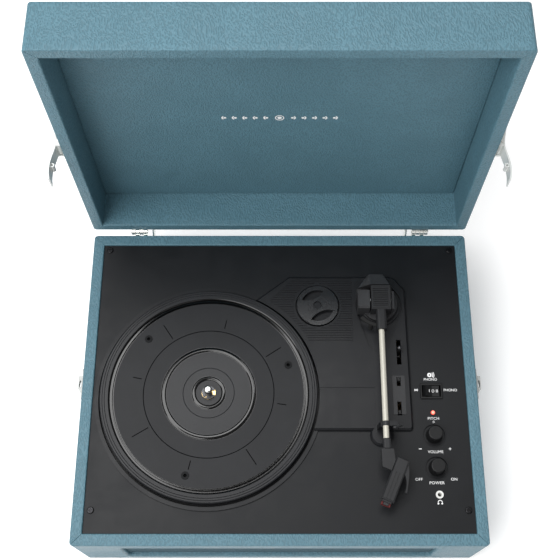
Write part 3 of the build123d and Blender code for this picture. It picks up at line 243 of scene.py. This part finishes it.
def platter_plastic(name, colour):
    """Spark-eroded field, spun flange and middle, polished black rings, dull marks and bosses, with
    painted shade in the sunk grooves, marks and dimples.
    """
    finish = Finish(name, colour, 0.4, specular=0.25)
    radius = finish.radius(platter_axis)
    turned = finish.maths("SINE", finish.maths("MULTIPLY", radius, 2 * pi / (0.9 * MM)))
    inside = finish.ramp(radius, 40.5 * MM, 41.5 * MM, 1.0, 0.0)
    outside = finish.ramp(radius, 84.0 * MM, 85.0 * MM)
    spun = finish.maths("MAXIMUM", inside, outside)
    finish.bump(finish.maths("MULTIPLY", turned, spun), 0.006 * MM, 0.6)
    unspun = finish.maths("SUBTRACT", 1.0, spun)
    speckle = finish.maths("MULTIPLY", finish.noise(0.45 * MM, 2.0, 0.6), unspun)
    finish.bump(speckle, 0.035 * MM, 0.9)
    polish = 0.0
    for start, end in ((11.3, 15.1), (37.3, 41.9), (83.5, 88.2)):
        band = finish.maths("MULTIPLY", finish.ramp(radius, (start - 0.2) * MM, start * MM),
                            finish.ramp(radius, end * MM, (end + 0.2) * MM, 1.0, 0.0))
        polish = finish.maths("MAXIMUM", polish, band)
    marks = finish.noise(30 * MM, 4.0, 0.65, 0.4)
    base = finish.tint(finish.ramp(marks, 0.35, 0.7), shade(colour, 0.9), shade(colour, 1.1))
    height = finish.node("ShaderNodeSeparateXYZ", Vector=finish.place).outputs["Z"]
    field = finish.maths("MULTIPLY", finish.ramp(radius, 45 * MM, 46 * MM),
                         finish.ramp(radius, 81 * MM, 82 * MM, 1.0, 0.0))
    marked = platter_top - 1.1 * MM  # below the field: grooves, radial marks and dimples
    sunk = finish.ramp(height, marked - 0.2 * MM, marked + 0.1 * MM, 1.0, 0.0)
    # painted shade: grooves, radial marks and dimples below the field are tinted to 12% of the colour,
    # for the shade in them
    base = finish.tint(finish.maths("MULTIPLY", field, sunk), base, shade(colour, 0.12))
    raised = finish.ramp(height, platter_top - 0.6 * MM, platter_top - 0.4 * MM)
    base = finish.tint(finish.maths("MULTIPLY", field, raised), base, shade(colour, 0.5))
    finish.tint(polish, base, (0.002, 0.002, 0.0022))
    rough = finish.ramp(spun, 0.0, 1.0, 0.5, 0.36)
    matt = finish.maths("SUBTRACT", 1.0, finish.maths("MULTIPLY", polish, 0.74))
    finish.feed(finish.shader, "Roughness", finish.maths("MULTIPLY", rough, matt))
    relief = finish.maths("MAXIMUM", sunk, finish.maths("MULTIPLY", raised, 0.6))
    dull = finish.maths("MULTIPLY", field, relief)
    specular = finish.maths("MULTIPLY_ADD", dull, -0.22, finish.ramp(polish, 0.0, 1.0, 0.25, 0.36))
    finish.feed(finish.shader, "Specular IOR Level", specular)
    return finish.material


def metal(name, colour, roughness, grain=None, metallic=1.0):
    """Plated or turned metal with fine hairlines and a faint haze."""
    finish = Finish(name, colour, roughness, metallic=metallic)
    stretched = finish.stretched((0, 0, 0), grain or (1.0, 1.0, 0.15))
    lines = finish.noise(0.25 * MM, 2.0, 0.6, 0.0, stretched)
    finish.bump(lines, 0.006 * MM, 0.7)
    haze = finish.noise(6 * MM, 3.0)
    finish.rough(haze, roughness - 0.04, roughness + 0.08)
    finish.tint(haze, shade(colour, 0.93), colour)
    return finish.material


def woven_cloth(name, colour):
    """Speaker cloth: crossed threads about 0.9 mm apart."""
    finish = Finish(name, colour, 0.85, specular=0.15, Sheen_Weight=0.05)
    waves = []
    for direction in ("X", "Z"):
        made = finish.node("ShaderNodeTexWave", {"bands_direction": direction}, Vector=finish.place)
        made.inputs["Scale"].default_value = 2 * pi / (20 * 0.9 * MM)
        waves.append(made.outputs["Fac"])
    weave = finish.maths("MULTIPLY", *waves)
    finish.bump(weave, 0.2 * MM, 0.9)
    finish.bump(finish.noise(0.4 * MM, 3.0), 0.05 * MM, 0.6)
    finish.tint(weave, shade(colour, 0.45), shade(colour, 1.25))
    return finish.material


def fibreboard(name, colour):
    finish = Finish(name, colour, 0.75, specular=0.3)
    fibres = finish.noise(1.2 * MM, 5.0, 0.7, 0.3, finish.stretched((0, 0, 0.3), (0.2, 1.0, 1.0)))
    finish.bump(fibres, 0.08 * MM, 0.7)
    finish.tint(finish.ramp(fibres, 0.3, 0.7), shade(colour, 0.7), shade(colour, 1.15))
    return finish.material


def printed_ink(name, colour):
    finish = Finish(name, colour, 0.5, specular=0.3)
    wear = finish.noise(0.5 * MM, 3.0, 0.7)
    finish.tint(finish.ramp(wear, 0.2, 0.45), shade(colour, 0.8), colour)
    return finish.material


def lamp_lens(name, centre):
    """Lit lens: nearly white in the middle, red around it."""
    finish = Finish(name, (0.75, 0.05, 0.03), 0.2, Coat_Weight=0.6)
    radius = finish.radius(centre)
    glow = finish.node("ShaderNodeMix", {"data_type": "RGBA"})
    finish.feed(glow, 0, finish.ramp(radius, 0.5 * MM, 2.0 * MM))
    glow.inputs[6].default_value = (1.0, 0.62, 0.45, 1.0)
    glow.inputs[7].default_value = (0.8, 0.07, 0.04, 1.0)
    finish.feed(finish.shader, "Emission Color", glow.outputs[2])
    finish.shader.inputs["Emission Strength"].default_value = 1.1
    return finish.material


TEAL = (0.0870, 0.1842, 0.2318)
CREAM = (0.54, 0.52, 0.45)
materials = {
    "leatherette": leatherette("leatherette", TEAL),
    # painted shade: the lining is the case's teal made 3% darker, for the shade inside the lid
    "lining": leatherette("lining_leatherette", shade(TEAL, 0.97)),
    "thread": moulded_plastic("thread", (0.42, 0.46, 0.47), 0.8, 0.5 * MM, 0.05 * MM, 0.2),
    "grille_cloth": woven_cloth("grille_cloth", (0.046, 0.118, 0.155)),
    "deck_plastic": moulded_plastic("deck_plastic", (0.0056, 0.0064, 0.0078), 0.46),
    "plinth_plastic": moulded_plastic("plinth_plastic", (0.0078, 0.0084, 0.0100), 0.42),
    "platter_plastic": platter_plastic("platter_plastic", (0.0108, 0.0115, 0.0133)),
    "arm_plastic": moulded_plastic("arm_plastic", (0.0300, 0.0305, 0.0325), 0.42),
    "knob_plastic": moulded_plastic("knob_plastic", (0.0065, 0.0068, 0.0074), 0.42),
    "speaker_cone": moulded_plastic("speaker_cone", (0.02, 0.02, 0.02), 0.7, 1.0 * MM, 0.06 * MM),
    "circuit_board": moulded_plastic("circuit_board", (0.02, 0.12, 0.05), 0.4),
    "white_plastic": moulded_plastic("white_plastic", (0.72, 0.72, 0.70), 0.35, specular=0.4),
    "red_plastic": moulded_plastic("red_plastic", (0.085, 0.012, 0.012), 0.45),
    "rubber": moulded_plastic("rubber", (0.015, 0.015, 0.015), 0.75, 0.8 * MM, 0.05 * MM),
    "arm_metal": metal("arm_metal", CREAM, 0.42, (1.0, 0.05, 1.0), 0.15),
    "steel": metal("steel", (0.60, 0.61, 0.62), 0.3),
    "dark_steel": metal("dark_steel", (0.09, 0.09, 0.095), 0.4),
    "nickel": metal("nickel", (0.84, 0.85, 0.81), 0.28),
    "satin_nickel": metal("satin_nickel", (0.78, 0.80, 0.78), 0.4, metallic=0.3),
    "grey_nickel": metal("grey_nickel", (0.40, 0.41, 0.40), 0.5, metallic=0.6),
    "black_screw": metal("black_screw", (0.03, 0.03, 0.032), 0.35),
    "dark_chrome": metal("dark_chrome", (0.30, 0.30, 0.29), 0.16),
    "adapter_plastic": moulded_plastic("adapter_plastic", (0.0120, 0.0125, 0.0140), 0.26, specular=0.4),
    "shell_plastic": moulded_plastic("shell_plastic", (0.0195, 0.0200, 0.0215), 0.44),
    "block_plastic": moulded_plastic("block_plastic", (0.0150, 0.0155, 0.0170), 0.42),
    "brass": metal("brass", (0.72, 0.52, 0.24), 0.25),
    "wood": fibreboard("wood", (0.42, 0.28, 0.16)),
    "ink": printed_ink("printed_white", (0.86, 0.86, 0.86)),
    "lamp": lamp_lens("lamp_lens", middle("power_led")),
    "floor": Finish("floor_paper", (0.93, 0.93, 0.93), 0.9, specular=0.1,
                    Emission_Color=(1.0, 1.0, 1.0, 1.0), Emission_Strength=0.22).material,
}


FINISHES = {
    "deck_screws": "black_screw",
    "spindle": "dark_chrome",
    "adapter_45": "adapter_plastic",
    "arm_block": "block_plastic",
    "headshell": "shell_plastic", "headshell_neck": "shell_plastic",
    "latch_keepers": "grey_nickel", "latch_plates": "satin_nickel",
    "latch_hasp_left": "satin_nickel", "latch_hasp_right": "satin_nickel",
}  # pieces that look different from the rest of their material slot


def dress(obj, material):
    obj.data.materials.clear()
    obj.data.materials.append(material)


def dress_cad_nodes():
    for entry in frame["record"]["subparts"]:
        dress(nodes[entry["node"]], materials[entry["material_slot"]])
    for name, finish in FINISHES.items():
        dress(nodes[name], materials[finish])


def soften(width, *names):
    """Breaks the sharp edges of CAD nodes, so that they catch the light."""
    for name in names:
        edge = nodes[name].modifiers.new("edge", "BEVEL")
        edge.width = width
        edge.segments = 2
        edge.limit_method = "ANGLE"
        edge.angle_limit = radians(40)
        edge.harden_normals = True


# ---------------------------------------------------------------- mesh kit
def mesh_object(name, mesh, material, body):
    """Puts a finished bmesh into the scene as a piece of a body."""
    bmesh.ops.recalc_face_normals(mesh, faces=mesh.faces)
    data = bpy.data.meshes.new(name)
    mesh.to_mesh(data)
    mesh.free()
    for polygon in data.polygons:
        polygon.use_smooth = True
    data.set_sharp_from_angle(angle=radians(38))
    obj = bpy.data.objects.new(name, data)
    bpy.context.scene.collection.objects.link(obj)
    data.materials.append(material)
    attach(obj, body)
    return obj


def arc(centre, radius, start, end, steps):
    """Points of an arc in a profile, angles in degrees."""
    turn = [radians(start + (end - start) * k / steps) for k in range(steps + 1)]
    return [(centre[0] + radius * cos(a), centre[1] + radius * sin(a)) for a in turn]


def spread(start, end, steps):
    """Evenly spaced points between two points, both ends left out."""
    first, last = Vector(start), Vector(end)
    return [tuple(first.lerp(last, k / steps)) for k in range(1, steps)]


SEAM = 0.9 * MM  # half the width of a fold seam


def ring_outline(half_x, half_y, radius, steps):
    """Rounded rectangle, with extra points beside each corner for the fold seams.
    Returns the points and, for each, whether it lies on a corner's diagonal."""
    points = []
    on_seam = []
    for quarter, (sx, sy) in enumerate(((1, 1), (-1, 1), (-1, -1), (1, -1))):
        centre = Vector((sx * (half_x - radius), sy * (half_y - radius)))
        for k in range(7):
            angle = quarter * pi / 2 + k * pi / 12
            points.append(centre + radius * Vector((cos(angle), sin(angle))))
            on_seam.append(k == 3)
        along = Vector((-sx, 0)) if quarter % 2 == 0 else Vector((0, -sy))
        length = 2 * ((half_x if quarter % 2 == 0 else half_y) - radius)
        count = steps[quarter % 2]
        start = points[-1]
        for k in range(count + 1):
            points.append(start + along * (SEAM + (length - 2 * SEAM) * k / count))
            on_seam.append(False)
    return points, on_seam


def wall_rings(mesh, profile, half_x, half_y, corner, place):
    """Rings of a profile of (inset, height, seam depth) around a rounded rectangle, to be joined by quads
    with join_rings.
    """
    steps = (round(half_x / (3 * MM)), round(half_y / (3 * MM)))
    rings = []
    for inset, height, seam in profile:
        radius = max(corner - inset, 0.7 * MM)
        outline, on_seam = ring_outline(half_x - inset, half_y - inset, radius, steps)
        ring = []
        for point, is_seam in zip(outline, on_seam):
            ripple = 0.12 * MM * noise.noise(Vector((point.x, point.y, height)) * 38)
            drop = seam if is_seam else 0.0
            ring.append(mesh.verts.new(place(point.x, point.y, height - drop + ripple)))
        rings.append(ring)
    return rings


def join_rings(mesh, rings, closed=False):
    pairs = list(zip(rings, rings[1:]))
    if closed:
        pairs.append((rings[-1], rings[0]))
    for lower, upper in pairs:
        count = len(lower)
        for k in range(count):
            after = (k + 1) % count
            mesh.faces.new((lower[k], lower[after], upper[after], upper[k]))


def rim_profile(high, thickness, outer_r, inner_r):
    """Top of a covered wall: rolled outer edge, slightly crowned rim, rolled inner edge."""
    crown = 0.25 * MM
    depth = 0.75 * MM
    points = [(x, z, 0.0) for x, z in arc((outer_r, high - outer_r), outer_r, 180, 90, 5)]
    width = thickness - outer_r - inner_r
    for k in range(1, 6):
        share = k / 6
        points.append((outer_r + width * share, high + crown * sin(pi * share) - crown, depth))
    inner = (thickness - inner_r, high - inner_r)
    points += [(x, z, depth * 0.5) for x, z in arc(inner, inner_r, 90, 0, 4)]
    return points


# ---------------------------------------------------------------- covers of the case and lid
ROLL = 1.1 * MM  # radius of the covers' outer edges
INNER_ROLL = 1.2 * MM  # radius of their inner edges
CORNER = 3.4 * MM


def case_cover():
    """One skin around the four walls, with the grille opening cut into the front."""
    size = case_high - case_low
    centre = (case_high + case_low) / 2
    low, high = case_low.z, case_high.z
    profile = [(wall, low, 0.0)]
    profile += [(x, z, 0.0) for x, z in arc((ROLL, low + ROLL), ROLL, 270, 180, 4)]
    profile += [(x, z, 0.0) for x, z in spread((0, low + ROLL), (0, high - ROLL), 14)]
    profile += rim_profile(high, wall, ROLL, INNER_ROLL)
    profile += [(x, z, 0.0) for x, z in spread((wall, high - INNER_ROLL), (wall, low), 6)]
    mesh = bmesh.new()
    rings = wall_rings(mesh, profile, size.x / 2, size.y / 2, CORNER,
                       lambda x, y, z: (centre.x + x, centre.y + y, z))
    join_rings(mesh, rings, closed=True)
    cover = mesh_object("case_cover", mesh, materials["leatherette"], "case")
    cut_window(cover)
    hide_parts("front_wall", "back_wall", "side_walls")
    return cover


def cut_window(cover):
    """Opening for the grille with a rolled edge, cut by a flared plug."""
    low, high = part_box("speaker_grille")
    gap = 0.2 * MM
    half = ((high.x - low.x) / 2 + gap, (high.z - low.z) / 2 + gap)
    centre_z = (high.z + low.z) / 2
    flare = 2.0 * MM
    mesh = bmesh.new()
    rings = []
    stations = [(flare * 1.5, -flare)]
    stations += [(flare * (1 - sin(a)), flare * (1 - cos(a))) for a in [k * pi / 12 for k in range(7)]]
    stations.append((0.0, wall * 1.5))
    for widen, depth in stations:
        outline, _ = ring_outline(half[0] + widen, half[1] + widen, 4 * MM + widen, (34, 7))
        rings.append([mesh.verts.new((p.x, case_low.y + depth, centre_z + p.y)) for p in outline])
    join_rings(mesh, rings)
    mesh.faces.new(rings[0])
    mesh.faces.new(rings[-1])
    bmesh.ops.recalc_face_normals(mesh, faces=mesh.faces)
    data = bpy.data.meshes.new("window_plug")
    mesh.to_mesh(data)
    mesh.free()
    plug = bpy.data.objects.new("window_plug", data)
    bpy.context.scene.collection.objects.link(plug)
    cut = cover.modifiers.new("window", "BOOLEAN")
    cut.object = plug
    cut.operation = "DIFFERENCE"
    cut.solver = "EXACT"
    apply_modifiers(cover)
    bpy.data.objects.remove(plug)
    for polygon in cover.data.polygons:
        polygon.use_smooth = True
    cover.data.set_sharp_from_angle(angle=radians(38))


def apply_modifiers(obj):
    """Keeps the evaluated mesh as the object's own mesh."""
    bpy.context.view_layer.update()
    ready = obj.evaluated_get(bpy.context.evaluated_depsgraph_get())
    data = bpy.data.meshes.new_from_object(ready)
    obj.modifiers.clear()
    obj.data = data


def lid_place(x, y, height):
    """Lid skins are built from the outer face, height towards the open side."""
    return (x, lid_high.y - height, (lid_low.z + lid_high.z) / 2 + y)


def lid_cover():
    """One skin over the board's outside, the walls, the rim and the walls' inside."""
    half_x = case_high.x
    half_y = (lid_high.z - lid_low.z) / 2
    depth = lid_high.y - lid_low.y
    profile = [(6 * MM, 0.0, 0.0)]
    profile += [(x, z, 0.0) for x, z in arc((ROLL, ROLL), ROLL, 270, 180, 4)]
    profile += [(x, z, 0.0) for x, z in spread((0, ROLL), (0, depth - ROLL), 8)]
    profile += rim_profile(depth, wall, ROLL, INNER_ROLL)
    profile += [(x, z, 0.0) for x, z in spread((wall, depth - INNER_ROLL), (wall, lid_board_t), 6)]
    profile.append((wall, lid_board_t, 0.0))
    mesh = bmesh.new()
    rings = wall_rings(mesh, profile, half_x, half_y, CORNER, lid_place)
    join_rings(mesh, rings)
    mesh.faces.new(rings[0])
    mesh.faces.new(rings[-1])
    cover = mesh_object("lid_cover", mesh, materials["leatherette"], "lid")
    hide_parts("lid_end_walls", "lid_side_walls", "lid_board")
    return cover


LINING_T = 0.9 * MM


def lid_lining():
    """Covered card that lines the board, with turned-in edges and a fine gap all round."""
    gap, thick, turn = 0.5 * MM, LINING_T, 0.7 * MM
    half_x = case_high.x - wall - gap
    half_y = (lid_high.z - lid_low.z) / 2 - wall - gap
    top = lid_board_t + thick
    profile = [(0.0, lid_board_t - 0.2 * MM, 0.0)]
    profile += [(x, z, 0.0) for x, z in arc((turn, top - turn), turn, 180, 90, 4)]
    profile.append((4 * MM, top, 0.0))
    mesh = bmesh.new()
    rings = wall_rings(mesh, profile, half_x, half_y, 1.0 * MM, lid_place)
    join_rings(mesh, rings)
    mesh.faces.new(rings[0])
    mesh.faces.new(rings[-1])
    return mesh_object("lid_lining", mesh, materials["lining"], "lid")


# ---------------------------------------------------------------- printed signs
def surface_of(*names):
    """Ray-castable surface of CAD nodes."""
    mesh = bmesh.new()
    for name in names:
        mesh.from_mesh(nodes[name].data)
    tree = BVHTree.FromBMesh(mesh)
    mesh.free()
    return tree


INK = 0.05 * MM  # how far a print stands off its surface


def lay_down(obj, surface, above):
    """Drops a flat print on a surface below it."""
    for vertex in obj.data.vertices:
        start = Vector((vertex.co.x, vertex.co.y, above))
        hit = surface.ray_cast(start, Vector((0, 0, -1)))[0]
        if hit is not None:
            vertex.co.z = hit.z + INK


def text_mesh(name, words, place, width, height):
    """Flat letters centred on a place, stretched to a width and height."""
    curve = bpy.data.curves.new(name, "FONT")
    curve.body = words
    curve.align_x = "CENTER"
    curve.align_y = "CENTER"
    curve.resolution_u = 4
    letters = bpy.data.objects.new(name, curve)
    bpy.context.scene.collection.objects.link(letters)
    bpy.context.view_layer.update()
    data = bpy.data.meshes.new_from_object(letters.evaluated_get(bpy.context.evaluated_depsgraph_get()))
    bpy.data.objects.remove(letters)
    xs = [v.co.x for v in data.vertices]
    ys = [v.co.y for v in data.vertices]
    scale = Matrix.Diagonal((width / (max(xs) - min(xs)), height / (max(ys) - min(ys)), 1.0, 1.0))
    to_centre = Matrix.Translation((-(max(xs) + min(xs)) / 2, -(max(ys) + min(ys)) / 2, 0))
    data.transform(Matrix.Translation(place) @ scale @ to_centre)
    return data


def print_on(name, data, body, surface, above, material="ink"):
    obj = bpy.data.objects.new(name, data)
    bpy.context.scene.collection.objects.link(obj)
    dress(obj, materials[material])
    lay_down(obj, surface, above)
    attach(obj, body)
    return obj


def stroke_mesh(name, strokes):
    """Flat band shapes: each stroke is (centre, radius, width, start angle, end angle), in degrees."""
    mesh = bmesh.new()
    for centre, radius, width, start, end in strokes:
        steps = max(6, round(abs(end - start) / 9))
        rows = []
        for k in range(steps + 1):
            angle = radians(start + (end - start) * k / steps)
            toward = Vector((cos(angle), sin(angle), 0))
            edges = (radius - width / 2, radius + width / 2)
            rows.append([mesh.verts.new(centre + toward * edge) for edge in edges])
        for a, b in zip(rows, rows[1:]):
            mesh.faces.new((a[0], a[1], b[1], b[0]))
    bmesh.ops.remove_doubles(mesh, verts=mesh.verts, dist=1e-6)
    data = bpy.data.meshes.new(name)
    mesh.to_mesh(data)
    mesh.free()
    return data


def deck_signs():
    deck = surface_of("deck_plate")
    above = deck_z + 10 * MM
    rocker = middle("rocker_housing")
    lamp = middle("power_led")
    pitch = middle("pitch_knob")
    volume = middle("volume_knob")
    jack = middle("headphone_jack")
    words = [
        ("phono_over", "PHONO", rocker, (0.0, 11.0), 11.7, 2.3),
        ("phono_right", "PHONO", rocker, (17.1, 1.2), 11.7, 2.3),
        ("pitch", "PITCH", lamp, (0.1, -5.2), 9.8, 2.4),
        ("zero", "0", lamp, (0.1, -8.3), 1.4, 1.9),
        ("minus", "-", pitch, (-12.6, -11.9), 2.6, 0.7),
        ("plus", "+", pitch, (13.1, -11.9), 2.4, 2.4),
        ("volume", "VOLUME", pitch, (0.4, -14.4), 13.4, 2.4),
        ("off", "OFF", volume, (-15.8, -9.8), 6.3, 2.3),
        ("on", "ON", volume, (14.2, -9.7), 5.3, 2.3),
        ("power", "POWER", volume, (-0.5, -12.8), 12.9, 2.4),
    ]
    for name, text, origin, (dx, dy), width, height in words:
        place = Vector((origin.x + dx * MM, origin.y + dy * MM, deck_z))
        data = text_mesh(f"sign_{name}", text, place, width * MM, height * MM)
        print_on(f"sign_{name}", data, "case", deck, above)
    signs = {
        "sign_record": record_sign(rocker + Vector((-0.6 * MM, 15.0 * MM, 0))),
        "sign_waves": waves_sign(rocker + Vector((-13.3 * MM, 1.2 * MM, 0))),
        "sign_headphones": headphone_sign(jack + Vector((0.1 * MM, -6.4 * MM, 0))),
    }
    for name, data in signs.items():
        print_on(name, data, "case", deck, above)
    ring = stroke_mesh("jack_ring", [(jack, 2.75 * MM, 1.2 * MM, 0, 360)])
    print_on("jack_ring", ring, "case", surface_of("headphone_jack"), above)


def record_sign(centre):
    """A disc with a hole and two sound arcs."""
    return stroke_mesh("sign_record", [
        (centre, 1.35 * MM, 1.3 * MM, 0, 360),
        (centre, 3.0 * MM, 0.6 * MM, -42, 42),
        (centre, 4.1 * MM, 0.6 * MM, -38, 38),
    ])


def waves_sign(centre):
    """A dot with arcs on both sides, for the wireless input."""
    return stroke_mesh("sign_waves", [
        (centre, 0.35 * MM, 0.7 * MM, 0, 360),
        (centre, 1.35 * MM, 0.5 * MM, -50, 50),
        (centre, 1.35 * MM, 0.5 * MM, 130, 230),
    ])


def headphone_sign(centre):
    """A headband with two ear pads."""
    strokes = [(centre, 1.75 * MM, 0.6 * MM, -15, 195)]
    for side in (-1, 1):
        pad = centre + Vector((side * 1.6 * MM, -1.0 * MM, 0))
        strokes.append((pad, 0.38 * MM, 0.76 * MM, 0, 360))
    return stroke_mesh("sign_headphones", strokes)


def rocker_marks():
    """I, O and II across the rocker, on its own body."""
    surface = surface_of("rocker")
    centre = middle("rocker_housing")
    above = centre.z + 20 * MM
    marks = (("one", "I", -1.9, 0.5), ("off", "O", 1.4, 2.3), ("two", "II", 4.9, 1.5))
    for name, text, dx, width in marks:
        place = Vector((centre.x + dx * MM, centre.y, centre.z))
        data = text_mesh(f"rocker_mark_{name}", text, place, width * MM, 2.6 * MM)
        print_on(f"rocker_mark_{name}", data, "rocker", surface, above)


EMBLEM_RISE = 234 * MM  # height of the emblem above the foot of the case


def lid_emblem():
    """Ring between two rows of dots and arcs, printed on the lining."""
    printed_y = lid_high.y - lid_board_t - LINING_T - INK
    first, pitch = 10.5 * MM, 8.6 * MM  # how far the dots are from the ring, and from each other
    disc_and_ring = ((0.9, 1.8), (3.4, 0.8))  # radius and line width of each, in mm
    strokes = [(Vector((0, 0, 0)), radius * MM, width * MM, 0, 360) for radius, width in disc_and_ring]
    for side, turn in ((-1, 180), (1, 0)):
        for step in range(5):
            place = Vector((side * (first + pitch * step), 0, 0))
            strokes.append((place, 2.3 * MM, 1.2 * MM, turn - 60, turn + 60))
            strokes.append((place, 0.6 * MM, 1.2 * MM, 0, 360))
    data = stroke_mesh("lid_emblem", strokes)
    height = case_low.z + EMBLEM_RISE
    data.transform(Matrix.Translation((0, printed_y, height)) @ Matrix.Rotation(pi / 2, 4, "X"))
    obj = bpy.data.objects.new("lid_emblem", data)
    bpy.context.scene.collection.objects.link(obj)
    dress(obj, materials["ink"])
    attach(obj, "lid")


# ---------------------------------------------------------------- small pieces
def turned_piece(name, profile, axis_place, turn, material, body, steps=64):
    """Solid of revolution from a profile of (radius, height)."""
    mesh = bmesh.new()
    rings = []
    for radius, height in profile:
        angles = [2 * pi * k / steps for k in range(steps)]
        rings.append([mesh.verts.new((radius * cos(a), radius * sin(a), height)) for a in angles])
    join_rings(mesh, rings)
    mesh.faces.new(rings[0])
    mesh.faces.new(rings[-1])
    mesh.transform(Matrix.Translation(axis_place) @ turn)
    return mesh_object(name, mesh, material, body)


def tube_sleeve():
    """Black sleeve pushed on the tonearm's tube where it lies over the rest."""
    low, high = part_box("arm_tube")
    radius = (high.x - low.x) / 2
    centre = Vector(((low.x + high.x) / 2, middle("arm_rest").y, (low.z + high.z) / 2))
    half, over, inner, edge = 2.0 * MM, 0.7 * MM, 0.02 * MM, 0.3 * MM
    profile = [(radius + inner, -half)]
    profile += [(radius + over - edge, -half), (radius + over, -half + edge)]
    profile += [(radius + over, half - edge), (radius + over - edge, half), (radius + inner, half)]
    turn = Matrix.Rotation(pi / 2, 4, "X")
    black = materials["arm_plastic"]
    turned_piece("tube_sleeve", profile, centre, turn, black, "arm_lift")


def swept_tube(path, radii, steps=28):
    """Closed tube along points in a vertical plane across the player, with a radius at each point."""
    mesh = bmesh.new()
    rings = []
    for k, (centre, radius) in enumerate(zip(path, radii)):
        before, after = path[max(k - 1, 0)], path[min(k + 1, len(path) - 1)]
        along = (after - before).normalized()
        side = Vector((0, 1, 0))
        up = side.cross(along)
        angles = [2 * pi * n / steps for n in range(steps)]
        rings.append([mesh.verts.new(centre + radius * (cos(a) * side + sin(a) * up)) for a in angles])
    join_rings(mesh, rings)
    mesh.faces.new(rings[0])
    mesh.faces.new(rings[-1])
    return mesh


def handle_piece():
    """Covered carrying handle: thin curved arms, a fuller grip, metal eyes and a sewn seam."""
    low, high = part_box("carry_handle")
    bracket = middle("handle_brackets")
    pin = Vector((bracket.x, bracket.y, 0))
    grip_r = (high.y - low.y) / 2
    pin.y = (low.y + high.y) / 2
    eye_r, arm_r, bend_r = 5.0 * MM, 4.2 * MM, 14.0 * MM
    pin.z = high.z - eye_r
    grip_z = low.z + grip_r
    half = (high.x - low.x) / 2 - eye_r - 0.5 * MM
    grip_half = 44 * MM

    side_top = pin.z - 3 * MM
    side = [Vector((-half, pin.y, side_top - (side_top - grip_z - bend_r) * k / 4)) for k in range(4)]
    corner = [Vector((-half + bend_r * (1 - cos(a)), pin.y, grip_z + bend_r * (1 - sin(a))))
              for a in [k * pi / 20 for k in range(11)]]
    run = [Vector((-half + bend_r + (half - bend_r) * k / 22, pin.y, grip_z)) for k in range(1, 23)]
    left = side + corner + run
    path = left + [Vector((-p.x, p.y, p.z)) for p in reversed(left[:-1])]
    radii = []
    for point in path:
        share = min(max((grip_half + 2 * MM - abs(point.x)) / (4 * MM), 0.0), 1.0)
        ease = share * share * (3 - 2 * share)
        swell = 1 - 0.10 * (abs(point.x) / grip_half) ** 2 if share == 1 else 0.9
        radii.append(arm_r + (grip_r * swell - arm_r) * ease)
    mesh = swept_tube(path, radii)
    grip = mesh_object("handle_grip", mesh, materials["leatherette"], "handle")
    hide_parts("carry_handle")

    across = Matrix.Rotation(pi / 2, 4, "Y")
    for label, x in (("left", -half), ("right", half)):
        width, edge = 5.5 * MM, 0.6 * MM
        bore = 2.1 * MM
        profile = [(bore, -width), (eye_r - edge, -width), (eye_r, -width + edge), (eye_r, width - edge),
                   (eye_r - edge, width), (bore, width)]
        place = Vector((x, pin.y, pin.z))
        nickel = materials["nickel"]
        turned_piece(f"handle_eye_{label}", profile, place, across, nickel, "handle", 48)

    seam = bmesh.new()
    count, reach = 30, 38 * MM
    seam_out, seam_up = 0.966, 0.259  # the seam runs 15 degrees above the grip's middle
    for k in range(count):
        x = -reach + 2 * reach * k / (count - 1)
        radius = grip_r * (1 - 0.10 * (x / grip_half) ** 2)
        place = Vector((x, pin.y - radius * seam_out, grip_z + radius * seam_up))
        size = Matrix.Diagonal((0.85 * MM, 0.32 * MM, 0.36 * MM, 1.0))
        bmesh.ops.create_uvsphere(seam, u_segments=10, v_segments=6, radius=1.0,
                                  matrix=Matrix.Translation(place) @ size)
    mesh_object("handle_stitches", seam, materials["thread"], "handle")


def lamp_piece():
    """Domed lens of the power light."""
    centre = middle("power_led")
    centre.z = deck_z
    radius, rise, collar = 1.9 * MM, 1.3 * MM, 0.25 * MM
    profile = [(radius, 0.0), (radius, collar)]
    profile += [(radius * cos(a), collar + rise * sin(a)) for a in [k * pi / 18 for k in range(1, 9)]]
    upright = Matrix.Identity(4)
    lens = turned_piece("lamp_lens", profile, centre, upright, materials["lamp"], "case", 40)
    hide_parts("power_led")


# ---------------------------------------------------------------- making
add_camera()
add_world(0.30)
add_softbox("key", (-0.9, -0.7, 1.7), (1.4, 1.4), 36.6)
add_softbox("front", (0.6, -1.9, 1.1), (1.2, 0.9), 4.0)
add_softbox("rim", (-0.4, 1.0, 1.9), (1.2, 0.8), 3.5)
add_softbox("back_top", (-0.3, 0.55, 2.1), (1.4, 0.6), 19.4)
add_floor(materials["floor"])
dress_cad_nodes()
soften(0.35 * MM, "mechanism_plinth", "arm_yoke")
soften(0.50 * MM, "arm_block")
soften(0.25 * MM, "headshell", "headshell_neck", "arm_rest", "rocker", "latch_plates", "latch_keepers")
soften(0.20 * MM, "switch_plate", "stop_lever", "speed_lever", "rocker_housing", "arm_clip", "adapter_45")
case_cover()
lid_cover()
lid_lining()
deck_signs()
rocker_marks()
lid_emblem()
tube_sleeve()
handle_piece()
lamp_piece()

bpy.context.scene.view_settings.view_transform = "Standard"
